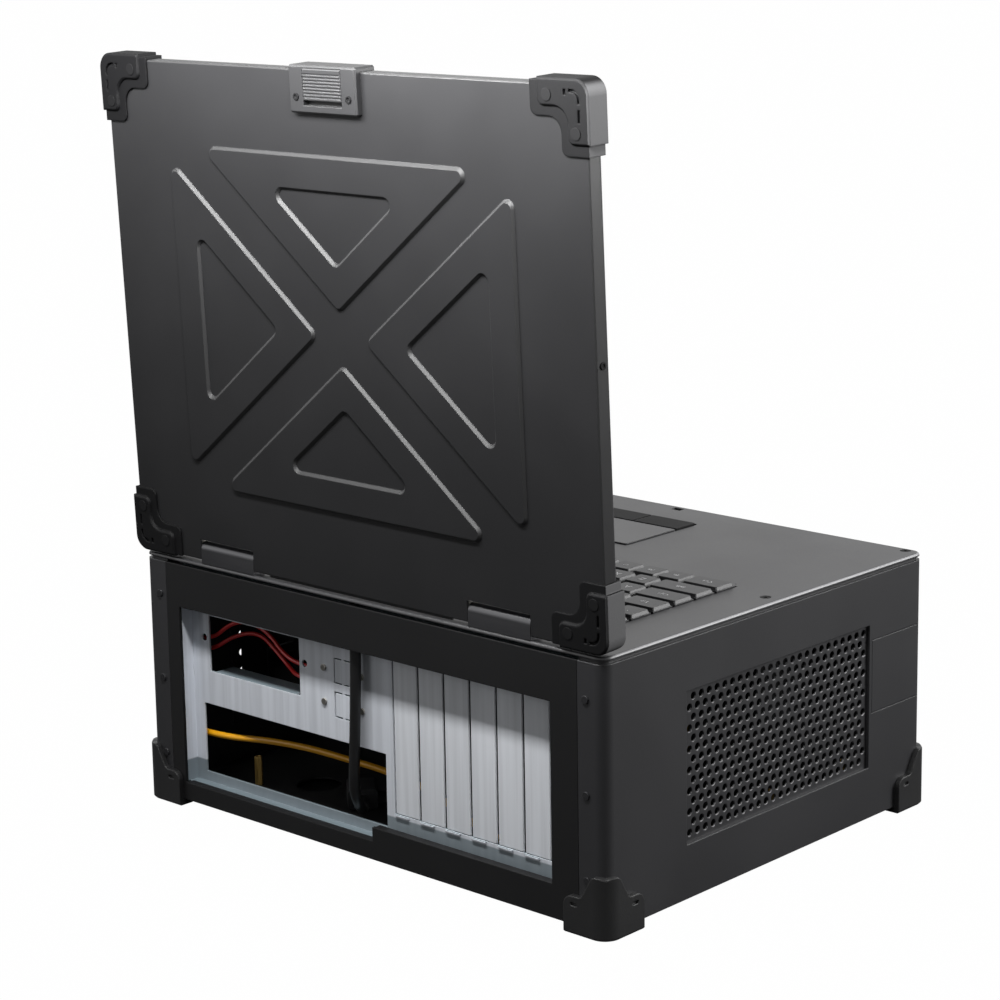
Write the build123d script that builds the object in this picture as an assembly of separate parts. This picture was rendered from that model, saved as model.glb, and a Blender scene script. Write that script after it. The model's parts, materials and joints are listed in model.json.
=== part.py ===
from build123d import *
import os
from math import atan2, cos, degrees, pi, radians, sin, tan

# Rugged portable computer, a deep metal case with a lid that holds the display.
# Millimetres. +Y is the rear with the card slots, -Y the user's side, +X the user's right,
# +Z up. The origin is on the desk under the middle of the case.

# Case
body_width = 374.0
body_depth = 298.0
body_height = 155.0
foot_drop = 4.0
corner_radius = 7.0
panel_wall = 2.0
deck_wall = 2.0
deck_shadow = 2.2
seam = 0.3
panel_screw_inset = 13.5
panel_screw_heights = (27.5, 76.0, 130.0)
return_width = 19.2
skirt_depth = 12.0
skirt_wall = 1.5
deck_round = 1.6
screw_play = 0.1

# Rear window, seen from behind
window_left = 156.5
window_right = -148.0
window_top = 124.0
sill_low = 11.3
sill_high = 19.9
sill_step = -8.0
sill_lip = 3.5
sill_lip_wall = 1.5

# Galvanised inner sheet behind the window
sheet_setback = 11.8
sheet_wall = 1.2
sheet_half_span = 180.0
sheet_head = 149.0
recess_left = 158.6
recess_right = -160.0
recess_floor = 10.8
psu_window = (62.4, 143.0, 83.0, 118.4)
psu_shelf_depth = 14.0
psu_shelf_margin = 4.0
psu_hole_spacing = 89.5
psu_hole_height = 103.8
psu_hole_radius = 2.25
io_width = 158.75
io_height = 44.45
io_left = 149.8
io_bottom = 17.2
knockout_size = (15.0, 15.8)
knockout_left = 32.8
knockout_tops = (112.2, 91.4)
knockout_cut = 0.8
knockout_screw_gap = 8.6
knockout_screw_far = 23.2
knockout_screw_drop = 7.6

# Card slots
slot_pitch = 20.32
slot_count = 7
slot_first_edge = -15.4
slot_cover_width = 18.9
slot_cover_wall = 1.0
slot_cover_bevel = 0.4
slot_bottom = 26.8
slot_shelf = 133.0
slot_shelf_depth = 9.0
slot_opening_head = 137.5
slot_tab_depth = 8.6
slot_tongue = (10.2, 7.0)
slot_lip = (11.0, 1.2, 0.9)
slot_screw_back = 5.2

# Board tray and stand-offs
tray_top = 8.0
tray_wall = 1.2
tray_box = (-163.0, 166.0, -125.0, 134.5)
tray_hole_radius = 14.0
tray_holes = ((97.0, 92.0), (55.0, 86.0), (10.0, 60.0))
standoff_flat = 4.5
standoff_height = 18.0
standoff_bore = 1.5
standoff_first = (126.0, 115.6)
standoff_columns = (0.0, 157.48, 281.94)
standoff_rows = (0.0, 154.94, 227.33)

# Side vents
vent_front = -93.3
vent_rear = 80.0
vent_bottom = 31.8
vent_top = 120.6
vent_plate_wall = 1.2
vent_plate_margin = 1.9
vent_hole_radius = 2.25
vent_pitch = 7.0
vent_row_holes = 24
vent_rows = 14
vent_first_hole = 75.0
vent_top_row = 116.1

# Fans behind the right vent
fan_size = 80.0
fan_depth = 25.0
fan_bore = 76.0
fan_corner = 5.0
fan_centres = (35.6, -47.0)
fan_height = 77.5
hub_radius = 17.0
blade_count = 7
blade_pitch = -46.0
blade_wall = 1.6
blade_clearance = 1.2
strut_wall = 3.0
rotor_setback = 1.5
fan_shaft_radius = 1.5
shaft_clearance = 0.05
fan_screw_pitch = 71.5
fan_screw_radius = 2.2

# Drive drawer at the front left corner
drawer_bottom = 65.5
drawer_top = 111.0
drawer_side_end = -95.8
drawer_right = -75.0
drawer_length = 110.0
drawer_wall = 1.2
drive_size = (69.85, 100.0, 15.0)
drive_gap = 2.0
drive_count = 2
cage_clearance = 0.5
cage_wall = 1.2
cage_flange = 7.0
cage_left = -153.5
drawer_pull = (26.0, 6.0, 1.2)

# Keyboard
key_pitch = 19.05
key_gap = 2.0
key_row_units = 15.75
key_rise = 2.6
key_sink = 1.0
key_travel = 2.0
key_taper = 1.1
key_front_row = -3.2
key_function_depth = 12.5
key_stem_radius = 1.8
key_stem_clearance = 0.1
key_stem_depth = 3.4
keyboard_floor = 3.4
keyboard_slab = 6.5
keyboard_margin = 0.2
row_units = {
    "ctrl_row_keys": (1.5, 1, 1, 1, -5.25, 1, 1, 1, 1, 1, 1),
    "shift_row_keys": (2,) + (1,) * 10 + (1.75, 1, 1),
    "caps_row_keys": (1.75,) + (1,) * 11 + (-2, 1),
    "tab_row_keys": (1.5,) + (1,) * 12 + (1.25, 1),
    "number_row_keys": (1,) * 13 + (1.75, 1),
}
function_key_count = 16

# Touchpad
pad_width = 74.0
pad_front = -118.0
pad_split = -96.8
pad_rear = -47.0
pad_corner = 3.0
pad_gap = 1.4
pad_rise = 0.7
pad_button_rise = 0.9
pad_slab = 5.0
pad_floor_drop = 1.4
pad_button_wall = 1.6

# Deck details
deck_screw_places = ((177.0, -143.8), (177.0, -4.2), (177.0, 131.0))
deck_screw_radius = 3.3
deck_screw_sink = 0.1
deck_screw_depth = 1.3
microphone_place = (-146.0, -16.3)
microphone_radius = 0.6
power_place = (140.0, 119.0)
power_radius = 6.0
power_collar = 1.2
power_rise = 1.2
power_travel = 1.2

# Lid, measured from its hinge edge upwards and from its outer face inwards
lid_width = 377.0
lid_length = 300.75
lid_thickness = 10.0
lid_skin = 1.5
lid_rim = 3.0
lid_corner = 6.0
lid_edge = 0.7
bezel_wall = 1.5
lid_gap = 3.3
lid_lean = 2.4
hinge_setback = 5.0
hinge_in = 4.5
hinge_up = 6.45
lip_half_width = 74.6
lip_drop = 1.2

# Hinges
hinge_left = 87.6
hinge_right = 134.0
hinge_radius = 4.5
hinge_notch_gap = 0.4
hinge_notch_height = 12.9
hinge_pin_radius = 2.0
hinge_pin_clearance = 0.05
hinge_leaf_width = 11.0
hinge_foot_depth = 4.0

# Pressed cross on the lid
rib_width = 21.0
rib_height = 1.7
rib_slope = 1.5
band_half_width = 11.6
press_half_width = 136.0
press_half_length = 103.0
press_corner = 5.0
press_inner_corner = 3.5

# Display
screen_width = 337.9
screen_height = 270.3
screen_bottom = 16.5
screen_reveal = 0.5
panel_border = 2.3
panel_depth = 6.0
glass_wall = 0.8
rail_inset = 30.0

# Corner guards
lid_guard_across = 35.0
lid_guard_down = 34.2
lid_guard_band = 14.8
lid_guard_side = 3.2
lid_guard_top = 3.4
lid_guard_hinge = 0.8
lid_guard_out = 2.8
lid_guard_in = 3.0
lid_guard_round = 9.0
lid_guard_inner_round = 9.0
lid_guard_lobe_round = 4.0
lid_guard_edge = 1.0
guard_flange_across = 4.2
guard_flange_down = 4.4
guard_flange_band = 3.6
guard_flange_step = 1.6
guard_cap_radius = 3.4
guard_cap_rise = 0.3
guard_cap_near = 9.0
guard_cap_far = 28.2
guard_slot_width = 1.6
guard_slot_depth = 1.4
guard_slot_inset = 6.4
guard_slot_round = 5.0
guard_slot_ends = (13.0, 19.6)
guard_slot_gap = 3.0
guard_slot_mark = (1.8, 3.0)
base_guard_side = 3.5
base_guard_reach = 28.0
base_guard_tall = 32.0
base_guard_low = 18.0
base_guard_lobe = 7.5
base_guard_step = 8.0
base_guard_dip = 3.0
base_guard_round = 3.5
base_guard_end_round = 6.0
base_guard_sole = 18.0
base_guard_edge = 1.0
base_guard_slot = (20.5, 13.5, 5.0, 2.0, 1.5)

# Latch
latch_width = 53.0
latch_bottom = 276.8
latch_top = 303.5
latch_out = 4.2
latch_over = 0.8
latch_edge = 1.0
latch_button_width = 30.0
latch_button_bottom = 283.9
latch_button_top = 301.8
latch_button_gap = 0.25
latch_backing = 0.9
latch_button_proud = 0.4
latch_travel = 2.5
latch_rib_pitch = 1.8
latch_rib_depth = 0.25
hook_half_width = 3.5
hook_place = 293.0
hook_wall = 2.0
hook_toe = 1.8
hook_toe_wall = 1.5
hook_play = 0.4
latch_screw_place = (20.7, 286.0)
lid_screw_radius = 2.1
lid_screw_rise = 0.6
lid_side_screw_place = 155.3

# Front handle
handle_half_span = 65.0
handle_lug_width = 6.0
handle_arm_width = 11.0
handle_arm_gap = 0.5
handle_plate = (26.0, 26.0, 2.0)
handle_height = 100.0
handle_pivot_out = 8.0
handle_arm_depth = 11.0
handle_arm_length = 42.0
handle_bar_height = 18.0
handle_pin_radius = 2.5
handle_pin_clearance = 0.05
handle_edge = 3.0
handle_screw_spacing = 16.0

# Cables
display_cable_diameter = 6.5
display_cable_route = (
    (8.8, 142.3, 140.0),
    (8.8, 142.3, 122.0),
    (10.0, 142.3, 92.0),
    (12.0, 142.3, 58.0),
    (13.8, 142.0, 36.0),
    (17.0, 134.0, 22.5),
    (27.0, 121.0, 14.5),
    (41.0, 108.5, 14.5),
)
display_plug_size = (24.0, 18.0, 12.0)
gland_radius = 4.2
gland_neck_radius = 3.2
supply_lead_diameter = 4.0
supply_lead_route = (
    (158.0, 131.4, 40.0),
    (140.0, 131.4, 40.0),
    (106.0, 127.0, 43.6),
    (72.0, 123.6, 45.0),
    (42.0, 121.4, 44.0),
    (10.0, 117.6, 42.0),
    (-20.0, 113.0, 36.0),
    (-42.0, 107.0, 23.0),
    (-60.0, 103.0, 13.0),
    (-82.0, 103.0, 13.0),
)
supply_plug_size = (26.0, 12.0, 10.0)
signal_lead_diameter = 2.6
signal_lead_routes = (
    (
        (159.0, 131.8, 101.0),
        (147.0, 131.8, 101.0),
        (131.0, 129.6, 114.0),
        (116.0, 128.0, 117.5),
        (99.0, 127.6, 113.0),
        (86.0, 128.6, 103.0),
        (70.0, 131.8, 100.0),
        (52.0, 131.8, 100.0),
    ),
    (
        (159.0, 131.8, 94.0),
        (147.0, 131.8, 94.0),
        (136.0, 123.0, 104.0),
        (119.0, 117.0, 107.5),
        (104.0, 117.0, 98.0),
        (88.0, 121.0, 91.5),
        (70.0, 131.8, 92.0),
        (52.0, 131.8, 92.0),
    ),
)
lead_clip_size = (7.0, 8.6)
signal_plug_size = (8.0, 8.0, 16.0)

# Worked out from the sizes above
half_width = body_width / 2
half_depth = body_depth / 2
body_bottom = foot_drop
deck_top = body_bottom + body_height
deck_under = deck_top - deck_wall
panel_top = deck_under - deck_shadow
inner_half_width = half_width - panel_wall
inner_half_depth = half_depth - panel_wall
floor_top = body_bottom + panel_wall
seam_x = half_width - return_width
sheet_rear = half_depth - sheet_setback
sheet_front = sheet_rear - sheet_wall
board_top = body_bottom + tray_top
hinge_y = half_depth - hinge_setback
hinge_z = deck_top + lid_gap + lid_thickness - hinge_in
lid_centre = lid_length / 2
pieces = {}


def box(x0, x1, y0, y1, z0, z1):
    """A block between two corners."""
    return Pos(x0, y0, z0) * Box(x1 - x0, y1 - y0, z1 - z0, align=(Align.MIN,) * 3)


def rod(radius, length, start, direction):
    """A round bar that starts at a point and runs along a direction."""
    plane = Plane(origin=start, z_dir=direction)
    return plane * Cylinder(radius, length, align=(Align.CENTER, Align.CENTER, Align.MIN))


def slab(width, depth, radius, z0, z1):
    """A flat plate with rounded corners, centred on the case."""
    return Pos(0, 0, z0) * extrude(RectangleRounded(width, depth, radius), z1 - z0)


def in_lid(piece):
    """Stand a piece of the lid, drawn about the hinge line, at its open angle."""
    return Pos(0, hinge_y, hinge_z) * Rot(-lid_lean, 0, 0) * piece


def lid_box(x0, x1, up0, up1, in0, in1):
    """A block in the lid: up from the hinge edge, in from the outer face."""
    return box(x0, x1, hinge_in - in1, hinge_in - in0, up0 - hinge_up, up1 - hinge_up)


def lid_plane(depth_in):
    """The plane across the lid at a depth, with its normal outwards and its y up the lid."""
    origin = (0, hinge_in - depth_in, lid_centre - hinge_up)
    return Plane(origin=origin, x_dir=(-1, 0, 0), z_dir=(0, 1, 0))


def group(solids):
    """Several alike solids kept apart in one node."""
    return Compound(children=[s for item in solids for s in item.solids()])


# Case panels
def case_ring(bottom, top):
    """The upright wall all round the case."""
    outer = slab(body_width, body_depth, corner_radius, bottom, top)
    inner_radius = corner_radius - panel_wall
    return outer - slab(body_width - 2 * panel_wall, body_depth - 2 * panel_wall, inner_radius, bottom, top)


def drawer_band(clearance):
    """The space at the front left corner that the drawer's cover fills."""
    z0 = body_bottom + drawer_bottom + clearance
    z1 = body_bottom + drawer_top - clearance
    x1 = drawer_right - clearance
    y1 = drawer_side_end - clearance
    side = box(-half_width - 1, -inner_half_width + 8, -half_depth - 1, y1, z0, z1)
    front = box(-half_width - 1, x1, -half_depth - 1, -inner_half_depth, z0, z1)
    return side + front


def vent_opening(side):
    """The recess cut for a vent, on the left for side -1 and on the right for side 1."""
    near, far = sorted((side * (inner_half_width - 1), side * (half_width + 1)))
    return box(near, far, vent_front, vent_rear, body_bottom + vent_bottom, body_bottom + vent_top)


def in_drawer(side, end, height):
    return side < 0 and end < 0 and drawer_bottom < height < drawer_top


def panel_screw_places():
    """Where the side panels screw on, at the rear and front corners."""
    return [(side * (half_width - panel_screw_inset), end, body_bottom + h)
            for side in (-1, 1) for end in (-1, 1) for h in panel_screw_heights
            if not in_drawer(side, end, h)]


def screw(radius, head, shank_radius, shank, start, outward):
    """A low round head outside a face and a shank inside it."""
    inward = tuple(-c for c in outward)
    return rod(radius, head, start, outward) + rod(shank_radius, shank, start, inward)


def side_panel(side):
    reach = half_width + 1
    clip = box(*sorted((side * seam_x, side * reach)), -half_depth - 1, half_depth + 1, 0, deck_top)
    panel = case_ring(body_bottom, panel_top) & clip
    panel -= vent_opening(side)
    if side < 0:
        panel -= drawer_band(0)
    for x, end, z in panel_screw_places():
        if x * side > 0:
            panel -= rod(1.5 + screw_play, 6, (x, end * (half_depth + 1), z), (0, -end, 0))
    return panel


def vent_plate(side):
    """A perforated sheet fixed behind the vent's opening."""
    near, far = sorted((side * (inner_half_width - vent_plate_wall), side * inner_half_width))
    plate = box(near, far, vent_front - vent_plate_margin, vent_rear + 2 * vent_plate_margin,
                body_bottom + vent_bottom - 5, body_bottom + vent_top + 5)
    plane = Plane(origin=(side * half_width, 0, 0), x_dir=(0, side, 0), z_dir=(side, 0, 0))
    holes = []
    for row in range(vent_rows):
        z = body_bottom + vent_top_row - vent_pitch * sin(pi / 3) * row
        for hole in range(vent_row_holes):
            y = vent_first_hole - vent_pitch * (hole + 0.5 * ((row + 1) % 2))
            holes.append(Pos(side * y, z) * Circle(vent_hole_radius))
    return plate - extrude(plane * (Sketch() + holes), -(panel_wall + 2 * vent_plate_wall))


def bottom_plate():
    return slab(2 * inner_half_width, 2 * inner_half_depth, corner_radius - panel_wall,
                body_bottom, floor_top)


def front_panel():
    edge = seam_x - seam
    panel = box(-edge, edge, -half_depth, -inner_half_depth, body_bottom, panel_top)
    panel -= drawer_band(0)
    for x, z in handle_screw_places():
        panel -= rod(1.5 + screw_play, 6, (x, -half_depth - 1, z), (0, 1, 0))
    return panel


def rear_frame():
    """The black rear plate with its window, whose sill steps up under the card slots."""
    edge = seam_x - seam
    plate = box(-edge, edge, inner_half_depth, half_depth, body_bottom, panel_top)
    low = box(sill_step, window_left, inner_half_depth - 1, half_depth + 1,
              body_bottom + sill_low, body_bottom + window_top)
    high = box(window_right, sill_step, inner_half_depth - 1, half_depth + 1,
               body_bottom + sill_high, body_bottom + window_top)
    plate -= low + high
    for x0, x1, sill in ((sill_step, window_left, sill_low), (window_right, sill_step, sill_high)):
        lip_rear = half_depth - 0.4
        plate += box(x0 + 1, x1 - 1, lip_rear - sill_lip - panel_wall + 0.4, lip_rear,
                     body_bottom + sill - sill_lip_wall, body_bottom + sill)
    return plate


def deck_plate():
    """The top plate with its openings and a skirt that hangs inside the side panels."""
    plate = slab(body_width, body_depth, corner_radius, deck_under, deck_top)
    plate = fillet(plate.edges().group_by(Axis.Z)[-1], deck_round)
    skirt_bottom = deck_under - skirt_depth
    radius = corner_radius - panel_wall
    skirt = slab(2 * inner_half_width, 2 * inner_half_depth, radius, skirt_bottom, deck_under)
    skirt -= slab(2 * (inner_half_width - skirt_wall), 2 * (inner_half_depth - skirt_wall),
                  radius - skirt_wall, skirt_bottom, deck_under)
    plate += skirt - box(-seam_x, seam_x, inner_half_depth - 10, half_depth, skirt_bottom, deck_under)
    plate -= keyboard_well(deck_under - 1)
    plate -= pad_well(deck_under - 1)
    for x, y in deck_screws_at():
        plate -= rod(deck_screw_radius + screw_play, deck_screw_depth, (x, y, deck_top), (0, 0, -1))
        plate -= rod(1.5 + screw_play, 2 * deck_wall, (x, y, deck_top), (0, 0, -1))
    plate -= Pos(*microphone_place, deck_top) * Cylinder(microphone_radius, 4 * deck_wall)
    plate -= Pos(*power_place, deck_top) * Cylinder(power_radius + seam, 4 * deck_wall)
    plate -= latch_slot()
    return plate


def latch_slot():
    """The slot in the deck that the lid's hook drops into."""
    closed_edge = hinge_y + hinge_up
    front = closed_edge - hook_place - hook_wall - hook_play
    rear = closed_edge - hook_place + latch_travel + hook_play
    half = hook_half_width + hook_play
    return box(-half, half, front, rear, deck_under - 1, deck_top + 1)


def deck_screws_at():
    return [(side * x, y) for side in (-1, 1) for x, y in deck_screw_places]


def deck_screws():
    """Flush screws that hold the deck down."""
    top = deck_top - deck_screw_sink
    screws = []
    for x, y in deck_screws_at():
        head = rod(deck_screw_radius, deck_screw_depth - deck_screw_sink, (x, y, top), (0, 0, -1))
        shank = rod(1.5, 7.0, (x, y, top), (0, 0, -1))
        socket = Pos(x, y, top) * extrude(RegularPolygon(1.2, 6), -0.9)
        screws.append(head + shank - socket)
    return group(screws)


def panel_screws():
    return group([screw(2.3, 0.9, 1.5, 3.0, (x, end * half_depth, z), (0, end, 0))
                  for x, end, z in panel_screw_places()])


# Rear sheet and card slots
def slot_left_edge(index):
    """Where the gap line beside a slot's cover lies."""
    return slot_first_edge - slot_pitch * (index - 1)


def slot_centre(index):
    return slot_left_edge(index) - slot_pitch / 2


def psu_hole_places():
    middle = (psu_window[0] + psu_window[1]) / 2
    return [(middle + s * psu_hole_spacing / 2, body_bottom + psu_hole_height) for s in (-1, 1)]


def bulkhead_screw_places():
    """The small screws beside the two knock-outs."""
    return [(knockout_left + knockout_screw_gap - dx, body_bottom + top - knockout_screw_drop)
            for top in knockout_tops for dx in (0, knockout_screw_gap + knockout_screw_far)]


def rear_bulkhead():
    z0, z1 = floor_top, body_bottom + sheet_head
    sheet = box(-sheet_half_span, sheet_half_span, sheet_front, sheet_rear, z0, z1)
    flange_rear = inner_half_depth
    floor_z = body_bottom + recess_floor
    sheet += box(recess_left, recess_left + sheet_wall, sheet_front, flange_rear, floor_z, z1)
    sheet += box(recess_right - sheet_wall, recess_right, sheet_front, flange_rear, floor_z, z1)
    sheet += box(recess_right - sheet_wall, recess_left + sheet_wall, sheet_front,
                 flange_rear - sill_lip, floor_z - sheet_wall, floor_z)
    head_z = body_bottom + sheet_head
    sheet += box(recess_right - sheet_wall, recess_left + sheet_wall, sheet_front, flange_rear,
                 head_z - sheet_wall, head_z)
    through = (sheet_front - 1, sheet_rear + 1)
    wx0, wx1, wz0, wz1 = psu_window
    sheet -= box(wx0, wx1, *through, body_bottom + wz0, body_bottom + wz1)
    sheet += box(wx0 + psu_shelf_margin, wx1 - psu_shelf_margin, sheet_front - psu_shelf_depth,
                 sheet_rear, body_bottom + wz0 - sheet_wall, body_bottom + wz0)
    sheet -= box(io_left - io_width, io_left, *through, body_bottom + io_bottom,
                 body_bottom + io_bottom + io_height)
    slots_right = slot_centre(slot_count) - slot_pitch / 2
    slots_left = slot_centre(1) + slot_pitch / 2
    sheet -= box(slots_right, slots_left, *through, body_bottom + slot_bottom,
                 body_bottom + slot_opening_head)
    shelf_z = body_bottom + slot_shelf
    shelf_rear = sheet_rear + slot_shelf_depth
    shelf = box(slots_right - 2, slots_left + 2, sheet_front, shelf_rear, shelf_z - sheet_wall, shelf_z)
    for index in range(1, slot_count + 1):
        x = slot_centre(index)
        half = slot_cover_width / 2 + 0.2
        shelf -= box(x - half, x + half, sheet_front - 1, sheet_front + slot_cover_wall + 0.2,
                     shelf_z - 3, shelf_z + 1)
        shelf -= rod(1.5 + screw_play, 4, (x, sheet_rear + slot_screw_back, shelf_z + 1), (0, 0, -1))
        lip_width, lip_depth, lip_wall = slot_lip
        lip_x = x + slot_cover_width / 2
        sheet += box(lip_x - lip_width, lip_x, sheet_rear, sheet_rear + lip_depth,
                     body_bottom + slot_bottom - lip_wall - 0.3, body_bottom + slot_bottom - 0.3)
    sheet += shelf
    for x, z in psu_hole_places():
        sheet -= rod(psu_hole_radius, 4, (x, sheet_rear + 1, z), (0, -1, 0))
    for x, z in bulkhead_screw_places():
        sheet -= rod(1.25 + screw_play, 4, (x, sheet_rear + 1, z), (0, -1, 0))
    width, height = knockout_size
    for top in knockout_tops:
        z_top = body_bottom + top
        outline = box(knockout_left - width, knockout_left, *through, z_top - height, z_top)
        rest = box(knockout_left - width - 1, knockout_left - knockout_cut, *through,
                   z_top - height + knockout_cut, z_top - knockout_cut)
        bridge = box(knockout_left - width / 2 - 1, knockout_left - width / 2 + 1, *through,
                     z_top - height - 1, z_top + 1)
        sheet -= outline - rest - bridge
    x, y, _ = display_cable_route[0]
    return sheet - rod(gland_neck_radius, 4 * sheet_wall, (x, y, head_z + sheet_wall), (0, 0, -1))


def slot_covers():
    """Blank covers, each with a tongue below and a tab bent back over the shelf."""
    covers = []
    shelf_z = body_bottom + slot_shelf
    for index in range(1, slot_count + 1):
        x = slot_centre(index)
        half = slot_cover_width / 2
        bottom = body_bottom + slot_bottom + 0.4
        plate = box(x - half, x + half, sheet_front, sheet_front + slot_cover_wall, bottom,
                    shelf_z + slot_cover_wall)
        edges = plate.edges().filter_by(Axis.Z).group_by(Axis.Y)[-1]
        plate = chamfer(edges, slot_cover_bevel)
        tongue_width, tongue_length = slot_tongue
        plate += box(x - tongue_width / 2, x + tongue_width / 2, sheet_front - slot_cover_wall,
                     sheet_front, bottom - tongue_length, bottom + 3)
        tab = box(x - half, x + half, sheet_front, sheet_rear + slot_tab_depth, shelf_z,
                  shelf_z + slot_cover_wall)
        tab -= rod(1.5 + screw_play, 4, (x, sheet_rear + slot_screw_back, shelf_z + 3), (0, 0, -1))
        covers.append(plate + tab)
    return group(covers)


def pan_screws():
    """The screws of the slot covers and those of the handle's brackets."""
    top = body_bottom + slot_shelf + slot_cover_wall
    screws = [screw(2.6, 1.8, 1.5, 3.4, (slot_centre(i), sheet_rear + slot_screw_back, top), (0, 0, 1))
              for i in range(1, slot_count + 1)]
    front = -half_depth - handle_plate[2]
    screws += [screw(2.6, 1.8, 1.5, 3.4, (x, front, z), (0, -1, 0)) for x, z in handle_screw_places()]
    return group(screws)


def bulkhead_screws():
    return group([screw(2.0, 0.9, 1.25, 2.6, (x, sheet_rear, z), (0, 1, 0))
                  for x, z in bulkhead_screw_places()])


# Board tray
def motherboard_tray():
    """A shallow pan turned over on the case's floor, with cable holes."""
    x0, x1, y0, y1 = tray_box
    pan = box(x0, x1, y0, y1, floor_top, board_top)
    pan -= box(x0 + tray_wall, x1 - tray_wall, y0 + tray_wall, y1 - tray_wall, floor_top,
               board_top - tray_wall)
    for x, y in tray_holes:
        pan -= rod(tray_hole_radius, 6, (x, y, board_top + 1), (0, 0, -1))
    return pan


def standoff_places():
    x0, y0 = standoff_first
    return [(x0 - dx, y0 - dy) for dx in standoff_columns for dy in standoff_rows]


def standoffs():
    """Hexagonal brass pillars with a threaded top."""
    posts = []
    for x, y in standoff_places():
        post = Pos(x, y, board_top) * extrude(RegularPolygon(standoff_flat / 2, 6, major_radius=False),
                                              standoff_height)
        posts.append(post - rod(standoff_bore, 8, (x, y, board_top + standoff_height), (0, 0, -1)))
    return group(posts)


# Fans
def fan_plane(centre, inwards):
    """A plane across a fan, a distance inside the vent plate, with its normal inwards."""
    x = inner_half_width - vent_plate_wall - inwards
    return Plane(origin=(x, centre, body_bottom + fan_height), x_dir=(0, 1, 0), z_dir=(-1, 0, 0))


def fan_frame(centre):
    """A square frame with a round bore and a spider that carries the rotor's shaft."""
    plane = fan_plane(centre, 0)
    frame = extrude(plane * RectangleRounded(fan_size, fan_size, fan_corner), fan_depth)
    frame -= extrude(plane * Circle(fan_bore / 2), fan_depth)
    half = fan_screw_pitch / 2
    holes = Sketch() + [Pos(a, b) * Circle(fan_screw_radius) for a in (-half, half) for b in (-half, half)]
    frame -= extrude(plane * holes, fan_depth)
    back = plane.offset(fan_depth - strut_wall)
    spider = Circle(hub_radius) + Rectangle(fan_bore + 1, 5) + Rectangle(5, fan_bore + 1)
    frame += extrude(back * spider, strut_wall)
    shaft_length = fan_depth - strut_wall - 3
    return frame + extrude(back * Circle(fan_shaft_radius), -shaft_length)


def fan_rotor(centre):
    """A hub with pitched blades that runs on the frame's shaft."""
    plane = fan_plane(centre, rotor_setback)
    length = fan_depth - strut_wall - rotor_setback - seam
    tip = fan_bore / 2 - blade_clearance
    ring = extrude(plane * Circle(tip), length)
    rotor = extrude(plane * Circle(hub_radius), length)
    blade_mid = (hub_radius + tip) / 2
    blade = Box(tip - hub_radius + 2, blade_wall, length / cos(radians(blade_pitch)) * 1.1)
    for index in range(blade_count):
        angle = 360 / blade_count * index
        turned = Rot(0, 0, angle) * Pos(blade_mid, 0, length / 2) * Rot(blade_pitch, 0, 0) * blade
        rotor += (plane * turned) & ring
    bore = extrude(plane.offset(length) * Circle(fan_shaft_radius + shaft_clearance),
                   -(fan_depth - strut_wall - 3))
    return rotor - bore


# Drive drawer
def drawer_centre():
    width = drive_size[0] + 2 * drawer_wall
    left = cage_left + cage_wall + cage_clearance
    return left + width / 2


def drive_cage():
    """A sheet tunnel that guides the drawer, flanged to the front panel."""
    half = drive_size[0] / 2 + drawer_wall + cage_clearance
    x = drawer_centre()
    z0 = body_bottom + drawer_bottom + cage_clearance
    z1 = body_bottom + drawer_top - cage_clearance
    y0 = -inner_half_depth + skirt_wall
    y1 = y0 + drawer_length + 6
    outer = box(x - half - cage_wall, x + half + cage_wall, y0, y1, z0 - cage_wall, z1 + cage_wall)
    cage = outer - box(x - half, x + half, y0, y1 - cage_wall, z0, z1)
    for low, high in ((z0 - cage_wall - cage_flange, z0), (z1, z1 + cage_wall + cage_flange)):
        cage += box(x - half, x + half, -inner_half_depth, y0 + cage_wall, low, high)
    return cage - box(x - half, x + half, y0 - 5, y0 + 5, z0, z1)


def drive_drawer():
    """The flush cover that wraps the corner, with the tray that carries the drives."""
    z0 = body_bottom + drawer_bottom + cage_clearance + seam
    cover = case_ring(body_bottom + drawer_bottom + seam, body_bottom + drawer_top - seam)
    keep = box(-half_width - 1, drawer_right - seam, -half_depth - 1, drawer_side_end - seam, 0, deck_top)
    cover &= keep
    pull_width, pull_height, pull_depth = drawer_pull
    x = drawer_centre()
    middle = body_bottom + (drawer_bottom + drawer_top) / 2
    cover -= box(x - pull_width / 2, x + pull_width / 2, -half_depth - 1, -half_depth + pull_depth,
                 middle - pull_height / 2, middle + pull_height / 2)
    half = drive_size[0] / 2
    y0 = -inner_half_depth
    y1 = y0 + drawer_length
    height = drive_count * drive_size[2] + (drive_count - 1) * drive_gap
    tray = box(x - half - drawer_wall, x + half + drawer_wall, y0, y1, z0, z0 + drawer_wall + height)
    tray -= box(x - half, x + half, y0, y1 - drawer_wall, z0 + drawer_wall, deck_top)
    return cover + tray


def hard_drives():
    width, length, height = drive_size
    x = drawer_centre()
    base = body_bottom + drawer_bottom + cage_clearance + seam + drawer_wall
    y1 = -inner_half_depth + drawer_length - drawer_wall
    drives = []
    for index in range(drive_count):
        z = base + index * (height + drive_gap)
        drive = box(x - width / 2, x + width / 2, y1 - length, y1, z, z + height)
        drives.append(chamfer(drive.edges().filter_by(Axis.Z), 1.5))
    return group(drives)


# Keyboard
def keyboard_well(bottom):
    """The keyboard's opening, from a height up through the deck."""
    x = key_row_units * key_pitch / 2 + keyboard_margin
    y0 = key_front_row - key_pitch / 2 - keyboard_margin
    y1 = key_function_row() + key_function_depth / 2 + key_gap / 2 + keyboard_margin
    return box(-x, x, y0, y1, bottom, deck_top + 1)


def key_function_row():
    rows = len(row_units)
    return key_front_row + key_pitch * (rows - 0.5) + key_function_depth / 2 + key_gap / 2


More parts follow.
